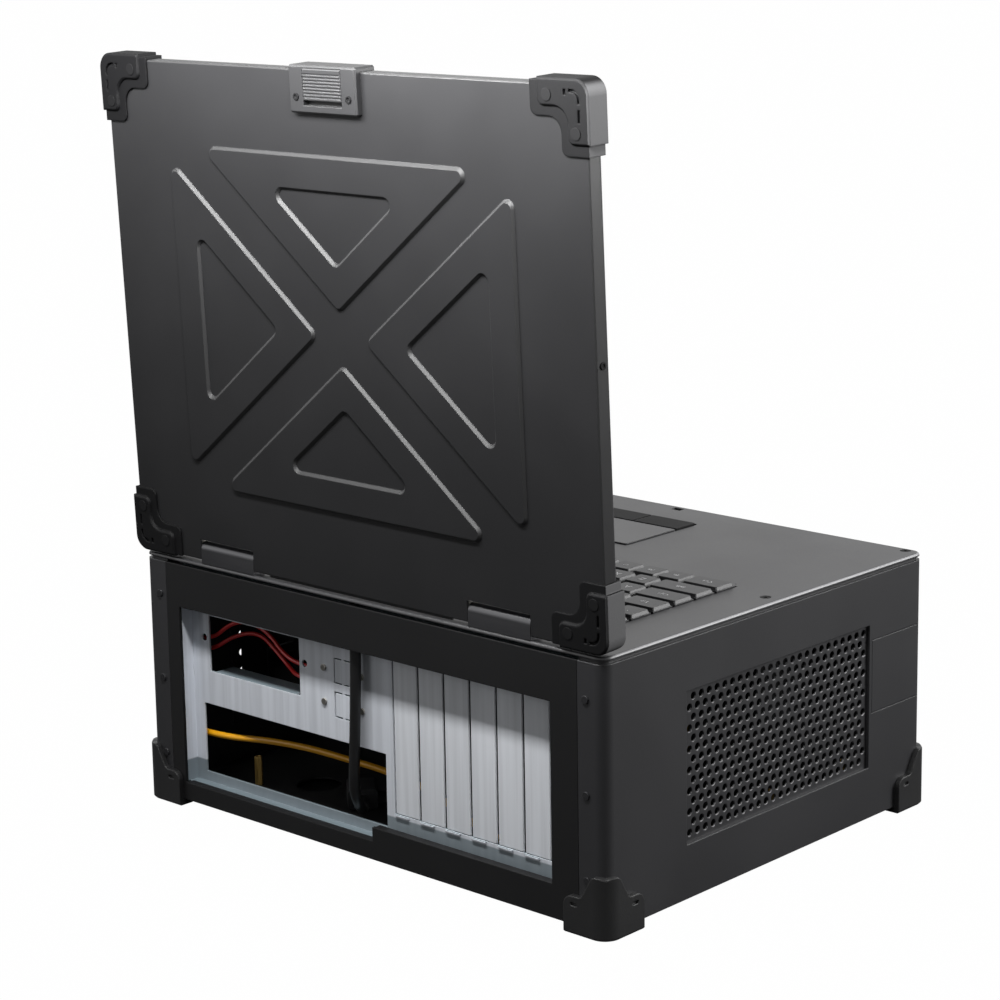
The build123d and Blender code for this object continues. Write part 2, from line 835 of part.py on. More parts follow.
def keycap(x, y, width, depth):
    """A tapered cap with a stem that slides in the keyboard's slab."""
    base = deck_top - key_sink
    lower = Plane((x, y, base)) * Rectangle(width, depth)
    upper = Plane((x, y, deck_top + key_rise)) * RectangleRounded(width - 2 * key_taper,
                                                                  depth - 2 * key_taper, 1.2)
    cap = extrude(lower, key_sink + 0.6) + loft([
        Plane((x, y, deck_top - 0.4)) * RectangleRounded(width, depth, 0.9), upper])
    stem_length = keyboard_floor - key_sink + key_stem_depth
    return cap + rod(key_stem_radius, stem_length, (x, y, base), (0, 0, -1))


def key_places(units, y, depth):
    """Centre, width and depth of each key in a row; a key with a node of its own is marked."""
    places = []
    edge = -key_row_units / 2
    for unit in units:
        size = abs(unit)
        x = (edge + size / 2) * key_pitch
        places.append((x, y, size * key_pitch - key_gap, depth, unit < 0))
        edge += size
    return places


def all_key_rows():
    depth = key_pitch - key_gap
    rows = {}
    for index, (name, units) in enumerate(row_units.items()):
        rows[name] = key_places(units, key_front_row + index * key_pitch, depth)
    unit = key_row_units / function_key_count
    rows["function_row_keys"] = key_places((unit,) * function_key_count, key_function_row(),
                                           key_function_depth)
    return rows


def keyboard_base():
    """The slab under the keys, with a hole for each stem."""
    x = key_row_units * key_pitch / 2 + keyboard_margin + 3
    y0 = key_front_row - key_pitch / 2 - keyboard_margin - 3
    y1 = key_function_row() + key_function_depth / 2 + key_gap / 2 + keyboard_margin + 3
    top = deck_top - keyboard_floor
    plate = box(-x, x, y0, y1, top - keyboard_slab, top)
    rim = box(-x, x, y0, y1, top, deck_under) - keyboard_well(top)
    sketch = Sketch() + [Pos(p[0], p[1]) * Circle(key_stem_radius + key_stem_clearance)
                         for row in all_key_rows().values() for p in row]
    holes = extrude(Plane((0, 0, top)) * sketch, -(key_stem_depth + key_travel + 0.3))
    return plate + rim - holes


# Touchpad
def pad_well(bottom):
    middle = (pad_front + pad_rear) / 2
    outline = RectangleRounded(pad_width, pad_rear - pad_front, pad_corner)
    return Pos(0, middle, bottom) * extrude(outline, deck_top + 1 - bottom)


def touchpad():
    """The pan under the opening with the smooth pad on top of it."""
    top = deck_top + pad_rise
    floor_z = deck_under - pad_floor_drop
    middle = (pad_front + pad_rear) / 2
    pan = Pos(0, middle, deck_under - pad_slab) * extrude(
        RectangleRounded(pad_width + 8, pad_rear - pad_front + 8, pad_corner + 4), pad_slab)
    pan -= pad_well(floor_z)
    width = pad_width - 2 * pad_gap
    surface = box(-width / 2, width / 2, pad_split + pad_gap / 2, pad_rear - pad_gap, floor_z, top)
    surface = fillet(surface.edges().filter_by(Axis.Z).group_by(Axis.Y)[-1], pad_corner - pad_gap)
    for side in (-1, 1):
        x = side * pad_width / 4
        y = (pad_front + pad_split) / 2
        pan -= rod(1.6, 3.4, (x, y, floor_z), (0, 0, -1))
    return pan + surface


def touch_button(side):
    """A click bar in front of the pad, on a short stem."""
    inner, outer = side * pad_gap / 2, side * (pad_width / 2 - pad_gap)
    top = deck_top + pad_button_rise
    y0, y1 = pad_front + pad_gap, pad_split - pad_gap / 2
    bar = box(*sorted((inner, outer)), y0, y1, top - pad_button_wall, top)
    outer_edges = bar.edges().filter_by(Axis.Z).group_by(Axis.Y)[0].sort_by(Axis.X)
    bar = fillet(outer_edges[-1 if side > 0 else 0], pad_corner - pad_gap)
    x, y = side * pad_width / 4, (pad_front + pad_split) / 2
    stem = top - pad_button_wall - (deck_under - pad_floor_drop) + 2.0
    return bar + rod(1.5, stem, (x, y, top - pad_button_wall), (0, 0, -1))


def power_button():
    """A round button with a collar that stops under the deck."""
    x, y = power_place
    cap = rod(power_radius, power_rise + deck_wall + seam, (x, y, deck_under - seam), (0, 0, 1))
    cap = fillet(cap.edges().group_by(Axis.Z)[-1], 0.6)
    collar = rod(power_radius + power_collar, power_collar, (x, y, deck_under - seam), (0, 0, -1))
    return cap + collar


def power_switch():
    """The switch block under the power button, with a bracket up to the deck."""
    x, y = power_place
    well = power_radius + power_collar + 0.4
    outer = well + 2.0
    depth = seam + power_collar + power_travel + 0.4
    cup = rod(outer, depth + 6, (x, y, deck_under), (0, 0, -1))
    return cup - rod(well, depth, (x, y, deck_under), (0, 0, -1))


# Lid
def lid_outline(depth_in, wall):
    """The lid's flat outline at a depth, drawn smaller by a wall."""
    radius = max(lid_corner - wall, 0.5)
    return lid_plane(depth_in) * RectangleRounded(lid_width - 2 * wall, lid_length - 2 * wall, radius)


def lid_slab(depth0, depth1, wall):
    return extrude(lid_outline(depth0, wall), -(depth1 - depth0))


def hinge_notch(side):
    """The notch in the lid's hinge edge that a hinge block stands in."""
    near, far = sorted((side * (hinge_left - hinge_notch_gap), side * (hinge_right + hinge_notch_gap)))
    return lid_box(near, far, -5, hinge_notch_height, -5, lid_thickness + 5)


def inset_triangle(points, inset):
    """Move a triangle's sides inwards by one distance."""
    a, b, c = (Vector(*p) for p in points)
    la, lb, lc = (b - c).length, (c - a).length, (a - b).length
    total = la + lb + lc
    middle = (a * la + b * lb + c * lc) / total
    area = abs((b - a).cross(c - a).Z) / 2
    scale = 1 - inset * total / (2 * area)
    return [tuple(middle + (p - middle) * scale)[:2] for p in (a, b, c)]


def press_triangles():
    """The four triangles left by a cross along the lid's diagonals."""
    slope = atan2(lid_length, lid_width)
    rise = band_half_width / cos(slope)
    run = band_half_width / sin(slope)
    reach_x = (press_half_length - rise) / tan(slope)
    reach_y = (press_half_width - run) * tan(slope)
    ends = []
    for side in (-1, 1):
        ends.append([(0, side * rise), (side * reach_x, side * press_half_length),
                     (-side * reach_x, side * press_half_length)])
        ends.append([(side * run, 0), (side * press_half_width, -side * reach_y),
                     (side * press_half_width, side * reach_y)])
    return ends


def rounded_triangle(points, radius):
    return fillet(Polygon(*points, align=None).vertices(), radius)


def pressed_rib(points):
    """A raised triangular frame with sloping sides."""
    plane = lid_plane(0)
    outer = extrude(plane * rounded_triangle(points, press_corner), rib_height)
    inner = extrude(plane * rounded_triangle(inset_triangle(points, rib_width), press_inner_corner),
                    rib_height)
    frame = outer - inner
    return chamfer(frame.edges().group_by(Axis.Y)[-1], rib_height - 0.2, rib_slope)


def lid_cover():
    """The lid's outer shell with its pressed cross."""
    depth = lid_thickness - bezel_wall
    shell = lid_slab(0, depth, 0)
    shell = chamfer(shell.edges().group_by(Axis.Y)[-1], lid_edge)
    shell -= lid_slab(lid_skin, depth, lid_rim)
    for points in press_triangles():
        shell += pressed_rib(points)
    shell += lid_box(-lip_half_width, lip_half_width, -lip_drop, lid_edge + 0.5,
                     lid_edge, lid_edge + lid_skin)
    for side in (-1, 1):
        shell -= hinge_notch(side)
    return in_lid(shell - hook_hole(-1, lid_thickness))


def hook_hole(in0, in1):
    """The hole through the lid in which the hook slides."""
    half = hook_half_width + hook_play
    return lid_box(-half, half, hook_place - latch_travel - hook_play,
                   hook_place + hook_wall + hook_play, in0, in1)


def hinge_pin(side):
    start = side * (hinge_left - hinge_leaf_width)
    length = hinge_right - hinge_left + 2 * hinge_leaf_width
    return rod(hinge_pin_radius, length, (start, 0, 0), (side, 0, 0))


def screen_box(grow, in0, in1):
    half = screen_width / 2 + grow
    return lid_box(-half, half, screen_bottom - grow, screen_bottom + screen_height + grow, in0, in1)


def lid_bezel():
    """The frame that closes the lid round the screen."""
    bezel = lid_slab(lid_thickness - bezel_wall, lid_thickness, 0)
    bezel = chamfer(bezel.edges().group_by(Axis.Y)[0], lid_edge)
    bezel -= screen_box(screen_reveal, 0, lid_thickness + 1)
    for side in (-1, 1):
        bezel -= hinge_notch(side)
    return in_lid(bezel - hook_hole(0, lid_thickness + 1))


def display_panel():
    """The flat display module behind the bezel, with the rails that hold it at its sides."""
    back = lid_thickness - bezel_wall - panel_depth
    module = screen_box(panel_border, back, lid_thickness - bezel_wall)
    half = screen_width / 2 + panel_border
    edge = lid_width / 2 - lid_rim
    for side in (-1, 1):
        near, far = sorted((side * half, side * edge))
        module += lid_box(near, far, rail_inset, lid_length - rail_inset,
                          lid_skin, lid_thickness - bezel_wall)
    return in_lid(module)


def display_glass():
    """The clear cover that lies on the module inside the bezel's opening."""
    face = lid_thickness - bezel_wall
    return in_lid(screen_box(screen_reveal - 0.1, face, face + glass_wall))


# Hinges
def hinge_block(side):
    """A block on the deck whose round top carries the hinge pin."""
    near, far = sorted((side * hinge_left, side * hinge_right))
    stand = box(near, far, hinge_y - hinge_radius, hinge_y + hinge_radius, deck_top, hinge_z)
    barrel = rod(hinge_radius, far - near, (near, hinge_y, hinge_z), (1, 0, 0))
    bore = rod(hinge_pin_radius + hinge_pin_clearance, far - near, (near, hinge_y, hinge_z), (1, 0, 0))
    foot = box(near + 6, far - 6, hinge_y - hinge_radius - hinge_foot_depth, hinge_y,
               deck_top, deck_top + 1.5)
    return stand + barrel + foot - bore


def hinge_leaf(side, end):
    """A steel knuckle fixed in the lid beside the notch."""
    start = hinge_right + hinge_notch_gap if end > 0 else hinge_left - hinge_notch_gap
    finish = start + end * (hinge_leaf_width - 1)
    near, far = sorted((side * start, side * finish))
    leaf = lid_box(near, far, lid_rim, hinge_notch_height, lid_skin, lid_thickness - bezel_wall)
    return leaf - hinge_pin(side)


def hinge_leaves():
    return group([in_lid(hinge_leaf(side, end)) for side in (-1, 1) for end in (-1, 1)])


def hinge_pins():
    return group([in_lid(hinge_pin(side)) for side in (-1, 1)])


# Corner guards
def guard_outline(across, down, band):
    """An L with a wide inner curve, from the outer corner at (0, 0)."""
    outline = Polygon((0, 0), (across, 0), (across, band), (band, band), (band, down), (0, down),
                      align=None)
    outline = fillet(outline.vertices().sort_by_distance((band, band))[0], lid_guard_inner_round)
    for corner in ((across, band), (band, down)):
        outline = fillet(outline.vertices().sort_by_distance(corner)[0], lid_guard_lobe_round)
    return fillet(outline.vertices().sort_by_distance((0, 0))[0], lid_guard_round)


def at_lid_corner(sketch, side, end, inset):
    """Turn an outline drawn from a corner to one of the lid's four corners."""
    over = lid_guard_top if end > 0 else lid_guard_hinge
    x = lid_width / 2 + lid_guard_side - inset
    y = lid_length / 2 + over - min(inset, over)
    if end > 0:
        sketch = mirror(sketch, Plane.XZ)
    if side < 0:
        sketch = mirror(sketch, Plane.YZ)
    return Pos(-side * x, end * y) * sketch


def guard_slots():
    """Three short grooves that follow the guard's outer corner."""
    inset, turn, wide = guard_slot_inset, guard_slot_round, guard_slot_width
    near, far = guard_slot_ends
    path = RectangleRounded(90, 90, turn + wide / 2) - RectangleRounded(90 - 2 * wide, 90 - 2 * wide,
                                                                     turn - wide / 2)
    ring = Pos(inset + 45 - wide / 2, inset + 45 - wide / 2) * path
    corner = Pos(inset, inset) * Rectangle(2 * near - 2 * inset, 2 * near - 2 * inset)
    grooves = ring & corner
    long = far - near
    mark_width, mark_height = guard_slot_mark
    grooves += Pos(near + 1.5 * mark_width, inset + (mark_height - wide) / 2) * Rectangle(*guard_slot_mark)
    return grooves + Pos(inset, near + guard_slot_gap + long / 2) * Rectangle(wide, long)


def guard_cap_places():
    return ((guard_cap_far, guard_cap_near), (guard_cap_near, guard_cap_far))


def lid_guard(side, end):
    """A rubber cap round one corner of the lid: end is 1 at the top, -1 at the hinge edge."""
    depth = lid_thickness + lid_guard_out + lid_guard_in
    main = guard_outline(lid_guard_across, lid_guard_down, lid_guard_band)
    guard = extrude(lid_plane(-lid_guard_out) * at_lid_corner(main, side, end, 0), -depth)
    rims = guard.edges().group_by(Axis.Y)
    guard = chamfer(rims[-1] + rims[0], lid_guard_edge)
    step = guard_flange_step
    flange = guard_outline(lid_guard_across + guard_flange_across, lid_guard_down + guard_flange_down,
                           lid_guard_band + guard_flange_band)
    guard += extrude(lid_plane(step - lid_guard_out) * at_lid_corner(flange, side, end, step),
                     2 * step - depth)
    slots = extrude(lid_plane(-lid_guard_out) * at_lid_corner(guard_slots(), side, end, 0),
                    -guard_slot_depth)
    guard -= slots
    guard -= lid_slab(0, lid_thickness, 0)
    guard -= screen_box(2 * screen_reveal, lid_thickness, depth)
    if end < 0:
        guard -= hinge_sweep()
    return in_lid(guard)


def hinge_sweep():
    """What a guard gives up near the hinge, so that it clears the deck as the lid turns."""
    clear = lid_gap + lid_thickness - hinge_in - seam
    reach = 60.0
    block = box(-lid_width, lid_width, -reach, 0, -reach, 0)
    return block - rod(clear, 2 * lid_width, (-lid_width, 0, 0), (1, 0, 0))


def lid_guards():
    return group([lid_guard(side, end) for side in (-1, 1) for end in (-1, 1)])


def lid_guard_caps():
    """Round plugs over the guards' screws."""
    caps = []
    for side in (-1, 1):
        for end in (-1, 1):
            sketch = Sketch() + [Pos(*place) * Circle(guard_cap_radius) for place in guard_cap_places()]
            plane = lid_plane(-lid_guard_out)
            caps.append(in_lid(extrude(plane * at_lid_corner(sketch, side, end, 0), guard_cap_rise)))
    return group(caps)


def base_guard_wing(length_side):
    """The guard's outline on one face, from the case's corner at 0 inwards."""
    reach, tall, low = base_guard_reach, base_guard_tall, base_guard_low
    lobe, step = base_guard_lobe, base_guard_step
    top, shelf = body_bottom + tall, body_bottom + low
    outline = Polygon((-length_side, 0), (reach, 0), (reach, shelf), (lobe + step, shelf), (lobe, top),
                      (base_guard_dip, top), (-length_side, top - base_guard_dip), align=None)
    outline = fillet(outline.vertices().sort_by_distance((reach, shelf))[0], base_guard_end_round)
    for corner in ((lobe + step, shelf), (lobe, top)):
        outline = fillet(outline.vertices().sort_by_distance(corner)[0], base_guard_round)
    return outline


def base_guard(side, end):
    """A rubber foot round one bottom corner of the case."""
    grow = base_guard_side
    width, depth, radius = body_width + 2 * grow, body_depth + 2 * grow, corner_radius + grow
    top = body_bottom + base_guard_tall
    shell = slab(width, depth, radius, 0, top)
    shell = chamfer(shell.edges().group_by(Axis.Z)[0], base_guard_edge)
    shell -= slab(body_width, body_depth, corner_radius, body_bottom, top)
    wing = base_guard_wing(2 * grow)
    side_plane = Plane(origin=(side * (half_width + grow), end * half_depth, 0),
                       x_dir=(0, -end, 0), z_dir=(-end, 0, 0))
    end_plane = Plane(origin=(side * half_width, end * (half_depth + grow), 0),
                      x_dir=(-side, 0, 0), z_dir=(0, side, 0))
    deep = corner_radius + grow
    wings = extrude(side_plane * wing, side * end * deep) + extrude(end_plane * wing, -side * end * deep)
    x0, x1 = sorted((side * (half_width - base_guard_sole), side * half_width))
    y0, y1 = sorted((end * (half_depth - base_guard_sole), end * half_depth))
    guard = shell & (wings + box(x0, x1, y0, y1, 0, body_bottom))
    d, h, slot_length, slot_height, slot_depth = base_guard_slot
    oval = Pos(d, body_bottom + h) * SlotOverall(slot_length, slot_height)
    guard -= extrude(side_plane * oval, side * end * slot_depth)
    return guard - extrude(end_plane * oval, -side * end * slot_depth)


def base_guards():
    return group([base_guard(side, end) for side in (-1, 1) for end in (-1, 1)])


# Latch
def latch_plate():
    """The plate at the lid's top edge that the latch button slides in."""
    half = latch_width / 2
    plate = lid_box(-half, half, latch_bottom, latch_top, -latch_out, lid_thickness + latch_over)
    plate = chamfer(plate.edges().group_by(Axis.Y)[-1] + plate.edges().filter_by(Axis.Y), latch_edge)
    plate -= lid_slab(0, lid_thickness, 0)
    plate -= lid_box(-half - 1, half + 1, latch_bottom - 1, lid_length - 6,
                     lid_thickness, lid_thickness + 5)
    gap = latch_button_gap
    wide = latch_button_width / 2 + gap
    plate -= lid_box(-wide, wide, latch_button_bottom - latch_travel - gap, latch_button_top + gap,
                     -latch_out - 1, -latch_backing)
    return in_lid(plate - hook_hole(-latch_out - 1, lid_thickness + 5))


def latch_button():
    """The ribbed slide with its hook, whose toe points towards the hinge."""
    half = latch_button_width / 2
    face = -latch_out - latch_button_proud
    slide = lid_box(-half, half, latch_button_bottom, latch_button_top,
                    face, -latch_backing - latch_button_gap)
    slide = chamfer(slide.edges().group_by(Axis.Y)[-1], latch_edge / 2)
    count = int((latch_button_top - latch_button_bottom - 3) / latch_rib_pitch)
    for index in range(count):
        up = latch_button_bottom + 1.6 + latch_rib_pitch * index
        slide -= lid_box(-half, half, up, up + latch_rib_pitch / 2,
                         face - 1, face + latch_rib_depth)
    toe_top = lid_thickness + lid_gap + deck_wall + hook_play
    hook_end = toe_top + hook_toe_wall
    hook = lid_box(-hook_half_width, hook_half_width, hook_place, hook_place + hook_wall,
                   -latch_backing - latch_button_gap - 0.5, hook_end)
    hook += lid_box(-hook_half_width, hook_half_width, hook_place - hook_toe, hook_place, toe_top, hook_end)
    return in_lid(slide + hook)


def lid_screw(start, outward):
    """A low screw head with a socket."""
    head = rod(lid_screw_radius, lid_screw_rise, start, outward)
    inside = Vector(*start) + Vector(*outward) * (lid_screw_rise / 3)
    return in_lid(head - rod(lid_screw_radius / 2, lid_screw_rise, tuple(inside), outward))


def lid_screws():
    """Two screws on the latch plate and one on each side edge of the lid."""
    x, up = latch_screw_place
    face = hinge_in + latch_out
    heads = [lid_screw((side * x, face, up - hinge_up), (0, 1, 0)) for side in (-1, 1)]
    middle = hinge_in - lid_thickness / 2
    heads += [lid_screw((side * lid_width / 2, middle, lid_side_screw_place - hinge_up), (side, 0, 0))
              for side in (-1, 1)]
    return group(heads)


# Front handle
def handle_pivot():
    return (-half_depth - handle_plate[2] - handle_pivot_out, body_bottom + handle_height)


def handle_lug_near():
    return handle_half_span + handle_arm_gap / 2


def handle_screw_places():
    """Two screws in each bracket's plate, above and below the lug."""
    z = body_bottom + handle_height
    half = handle_screw_spacing / 2
    x = handle_half_span - handle_arm_width / 2
    return [(side * x, z + dz) for side in (-1, 1) for dz in (-half, half)]


def handle_bracket(side):
    """A plate on the front panel with a lug for the handle's pin."""
    wide, tall, wall = handle_plate
    y, z = handle_pivot()
    near, far = sorted((side * (handle_lug_near() + handle_lug_width - wide),
                        side * (handle_lug_near() + handle_lug_width)))
    plate = box(near, far, -half_depth - wall, -half_depth, z - tall / 2, z + tall / 2)
    plate = fillet(plate.edges().filter_by(Axis.Y), handle_edge)
    start = side * handle_lug_near()
    near, far = sorted((start, start + side * handle_lug_width))
    radius = handle_arm_depth / 2
    lug = rod(radius, handle_lug_width, (near, y, z), (1, 0, 0))
    lug += box(near, far, y, -half_depth - wall, z - radius, z + radius)
    bracket = plate + lug
    for x, hole_z in handle_screw_places():
        if x * side > 0:
            bracket -= rod(1.5 + screw_play, 8, (x, -half_depth - 4, hole_z), (0, 1, 0))
    return bracket - handle_pin(side)


def handle_brackets():
    return group([handle_bracket(side) for side in (-1, 1)])


def handle_pin(side):
    y, z = handle_pivot()
    start = side * (handle_lug_near() + handle_lug_width)
    return rod(handle_pin_radius, handle_lug_width + handle_arm_width - 1, (start, y, z), (-side, 0, 0))


def handle_pins():
    return group([handle_pin(side) for side in (-1, 1)])


def carry_handle():
    """A U-shaped grip that hangs down flat against the front."""
    y, z = handle_pivot()
    outer = handle_half_span - handle_arm_gap / 2
    half = handle_arm_depth / 2
    bar_z = z - handle_arm_length
    grip = box(-outer, outer, y - half, y + half,
               bar_z - handle_bar_height / 2, bar_z + handle_bar_height / 2)
    for side in (-1, 1):
        near, far = sorted((side * (outer - handle_arm_width), side * outer))
        grip += box(near, far, y - half, y + half, bar_z, z)
        grip += rod(half, handle_arm_width, (near, y, z), (1, 0, 0))
    grip = fillet(grip.edges().filter_by(Axis.X).group_by(Axis.Z)[0], handle_edge)
    for side in (-1, 1):
        bore = rod(handle_pin_radius + handle_pin_clearance, handle_arm_width - 0.5,
                   (side * outer, y, z), (-side, 0, 0))
        grip -= bore
    return grip


# Cables
def lifted(route):
    """A route with its heights counted from the case's underside moved to the desk."""
    return [Vector(x, y, z + body_bottom) for x, y, z in route]


def cord(name, route, diameter):
    """A round cable along straight runs joined by arcs."""
    points = lifted(route)
    radii = []
    for before, here, after in zip(points, points[1:], points[2:]):
        first, second = here - before, after - here
        half_turn = radians(first.get_angle(second)) / 2
        radii.append(0.45 * min(first.length, second.length) / tan(half_turn))
    path = FilletPolyline(*points, radius=radii)
    tube = sweep(Plane(path @ 0, z_dir=path % 0) * Circle(diameter / 2), path=path)
    ratio = tube.volume / (path.length * pi * diameter ** 2 / 4)
    print(name, "smallest bend", round(min(radii) / diameter, 1), "diameters, volume ratio", round(ratio, 4))
    return tube


def display_gland():
    """A rubber bush in the sheet's top flange, where the display cable comes through."""
    x, y, z = display_cable_route[0]
    under = body_bottom + sheet_head - sheet_wall
    bush = rod(gland_radius, under - body_bottom - z, (x, y, z + body_bottom), (0, 0, 1))
    neck = rod(gland_neck_radius - screw_play, 2 * sheet_wall, (x, y, under), (0, 0, 1))
    return bush + neck


def display_plug():
    """The cable's plug, laid down on the board tray."""
    length, width, height = display_plug_size
    last, end = lifted(display_cable_route)[-2:]
    run = end - last
    angle = degrees(atan2(run.Y, run.X))
    plug = Pos(length / 2, 0, 0) * Box(length, width, height)
    plug = chamfer(plug.edges().filter_by(Axis.X), 1.0)
    return Pos(*end) * Rot(0, 0, angle) * plug


def supply_plug():
    length, width, height = supply_plug_size
    x, y, z = supply_lead_route[-1]
    plug = box(x - length, x, y - width / 2, y + width / 2, z + body_bottom - height / 2,
               z + body_bottom + height / 2)
    return chamfer(plug.edges().filter_by(Axis.X), 1.0)


def signal_plug():
    """The block on the sheet's inner face that both signal leads run into."""
    length, depth, height = signal_plug_size
    x, _, _ = signal_lead_routes[0][-1]
    middle = sum(route[-1][2] for route in signal_lead_routes) / 2 + body_bottom
    return box(x - length, x, sheet_front - depth, sheet_front, middle - height / 2, middle + height / 2)


def lead_clips():
    """Clips on the sheet's inner face, one for the supply lead and one for both signal leads."""
    width, depth = lead_clip_size
    clips = []
    for routes in ((supply_lead_route,), signal_lead_routes):
        x, _, _ = routes[0][0]
        heights = [route[0][2] + body_bottom for route in routes]
        clips.append(box(x, x + width, sheet_front - depth, sheet_front,
                         min(heights) - depth / 2, max(heights) + depth / 2))
    return group(clips)


pieces["bottom_plate"] = bottom_plate()
pieces["side_panel_left"] = side_panel(-1)
pieces["side_panel_right"] = side_panel(1)
pieces["vent_plate_left"] = vent_plate(-1)
pieces["vent_plate_right"] = vent_plate(1)
pieces["front_panel"] = front_panel()
pieces["rear_frame"] = rear_frame()
pieces["deck_plate"] = deck_plate()
pieces["deck_screws"] = deck_screws()
pieces["panel_screws"] = panel_screws()
pieces["rear_bulkhead"] = rear_bulkhead()
pieces["slot_covers"] = slot_covers()
pieces["pan_screws"] = pan_screws()
pieces["bulkhead_screws"] = bulkhead_screws()
pieces["board_tray"] = motherboard_tray()
pieces["standoffs"] = standoffs()
pieces["fan_frames"] = group([fan_frame(centre) for centre in fan_centres])
pieces["fan_rotor_rear"] = fan_rotor(fan_centres[0])
pieces["fan_rotor_front"] = fan_rotor(fan_centres[1])
pieces["drive_cage"] = drive_cage()
pieces["drive_drawer"] = drive_drawer()
pieces["hard_drives"] = hard_drives()
pieces["keyboard_base"] = keyboard_base()
for name, row in all_key_rows().items():
    pieces[name] = group([keycap(*place[:4]) for place in row if not place[4]])
for name, row in (("space_bar", "ctrl_row_keys"), ("enter_key", "caps_row_keys")):
    pieces[name] = group([keycap(*place[:4]) for place in all_key_rows()[row] if place[4]])
pieces["touchpad"] = touchpad()
pieces["touch_button_left"] = touch_button(-1)
pieces["touch_button_right"] = touch_button(1)
pieces["power_button"] = power_button()
pieces["power_switch"] = power_switch()
pieces["hinge_blocks"] = group([hinge_block(side) for side in (-1, 1)])
pieces["hinge_pins"] = hinge_pins()
pieces["hinge_leaves"] = hinge_leaves()
pieces["lid_cover"] = lid_cover()
pieces["lid_bezel"] = lid_bezel()
pieces["display_panel"] = display_panel()
pieces["display_glass"] = display_glass()
pieces["lid_guards"] = lid_guards()
pieces["lid_guard_caps"] = lid_guard_caps()
pieces["base_guards"] = base_guards()
pieces["latch_plate"] = latch_plate()
pieces["latch_button"] = latch_button()
pieces["lid_screws"] = lid_screws()
pieces["handle_brackets"] = handle_brackets()
pieces["handle_pins"] = handle_pins()
pieces["carry_handle"] = carry_handle()
pieces["display_cable"] = cord("display_cable", display_cable_route, display_cable_diameter)
pieces["display_gland"] = display_gland()
pieces["display_plug"] = display_plug()
pieces["supply_lead"] = cord("supply_lead", supply_lead_route, supply_lead_diameter)
pieces["supply_plug"] = supply_plug()
pieces["signal_leads"] = group([cord("signal_lead", route, signal_lead_diameter)
                                for route in signal_lead_routes])
pieces["signal_plug"] = signal_plug()
pieces["lead_clips"] = lead_clips()

os.makedirs("parts", exist_ok=True)
for name, piece in pieces.items():
    export_step(piece, f"parts/{name}.step")
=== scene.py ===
import json

import bmesh
import bpy
from mathutils import Matrix, Vector

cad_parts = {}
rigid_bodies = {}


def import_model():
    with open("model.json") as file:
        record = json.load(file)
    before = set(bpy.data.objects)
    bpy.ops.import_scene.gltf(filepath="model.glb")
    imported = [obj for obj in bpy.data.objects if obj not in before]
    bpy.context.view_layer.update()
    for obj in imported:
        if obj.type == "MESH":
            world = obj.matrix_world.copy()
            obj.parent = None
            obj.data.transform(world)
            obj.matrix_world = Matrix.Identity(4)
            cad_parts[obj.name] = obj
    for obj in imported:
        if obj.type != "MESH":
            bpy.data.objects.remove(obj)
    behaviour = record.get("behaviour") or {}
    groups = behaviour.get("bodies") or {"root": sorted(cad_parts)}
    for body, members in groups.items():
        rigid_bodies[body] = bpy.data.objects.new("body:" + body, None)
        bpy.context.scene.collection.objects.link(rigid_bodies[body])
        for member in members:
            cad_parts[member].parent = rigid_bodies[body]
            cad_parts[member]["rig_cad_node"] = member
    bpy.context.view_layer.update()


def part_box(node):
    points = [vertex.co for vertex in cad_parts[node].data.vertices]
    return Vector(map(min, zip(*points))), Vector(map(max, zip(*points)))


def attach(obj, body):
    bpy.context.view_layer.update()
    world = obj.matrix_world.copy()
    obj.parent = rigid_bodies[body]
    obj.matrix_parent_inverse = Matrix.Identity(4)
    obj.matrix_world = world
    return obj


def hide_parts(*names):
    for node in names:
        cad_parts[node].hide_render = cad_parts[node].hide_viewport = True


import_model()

nodeObjects = {o["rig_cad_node"]: o for o in bpy.context.scene.objects if "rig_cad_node" in o}
print("stage: frame loaded,", len(nodeObjects), "nodes")


# One value in a shader, where sums and products add Math nodes
class Term:
    def __init__(self, sheet, socket):
        self.sheet = sheet
        self.socket = socket

    def made(self, operation, *values):
        node = self.sheet.node("ShaderNodeMath", {"operation": operation}, values)
        return Term(self.sheet, node.outputs[0])

    def __add__(self, other):
        return self.made("ADD", self, other)

    def __sub__(self, other):
        return self.made("SUBTRACT", self, other)

    def __mul__(self, other):
        return self.made("MULTIPLY", self, other)

    def __rsub__(self, other):
        return self.made("SUBTRACT", other, self)

    __radd__ = __add__
    __rmul__ = __mul__

    def size(self):
        return self.made("ABSOLUTE", self)

    # 0 below low, 1 above high, with a soft step between them
    def smooth(self, low, high):
        settings = {"interpolation_type": "SMOOTHSTEP", "clamp": True}
        node = self.sheet.node("ShaderNodeMapRange", settings, (self, low, high, 0.0, 1.0))
        return Term(self.sheet, node.outputs[0])


# The nodes of one material or of the world
class NodeSheet:
    def __init__(self, tree):
        self.tree = tree

    def node(self, kind, settings=None, inputs=()):
        made = self.tree.nodes.new(kind)
        for name, value in (settings or {}).items():
            setattr(made, name, value)
        pairs = inputs.items() if isinstance(inputs, dict) else enumerate(inputs)
        for key, value in pairs:
            source = value.socket if isinstance(value, Term) else value
            if isinstance(source, bpy.types.NodeSocket):
                self.tree.links.new(source, made.inputs[key])
            else:
                made.inputs[key].default_value = source
        return made


# Cosines where the masks begin and end, and how finely edges are rounded
masks = {"facing": (0.5, 0.95), "slopeStart": (0.2, 0.5), "slopeEnd": (0.93, 0.985), "edge": (0.0, 0.12),
         "edgeSamples": 4}
# The Mix node's own numbers for its colour sockets
mixSockets = {"factor": 0, "first": 6, "second": 7, "result": 2}


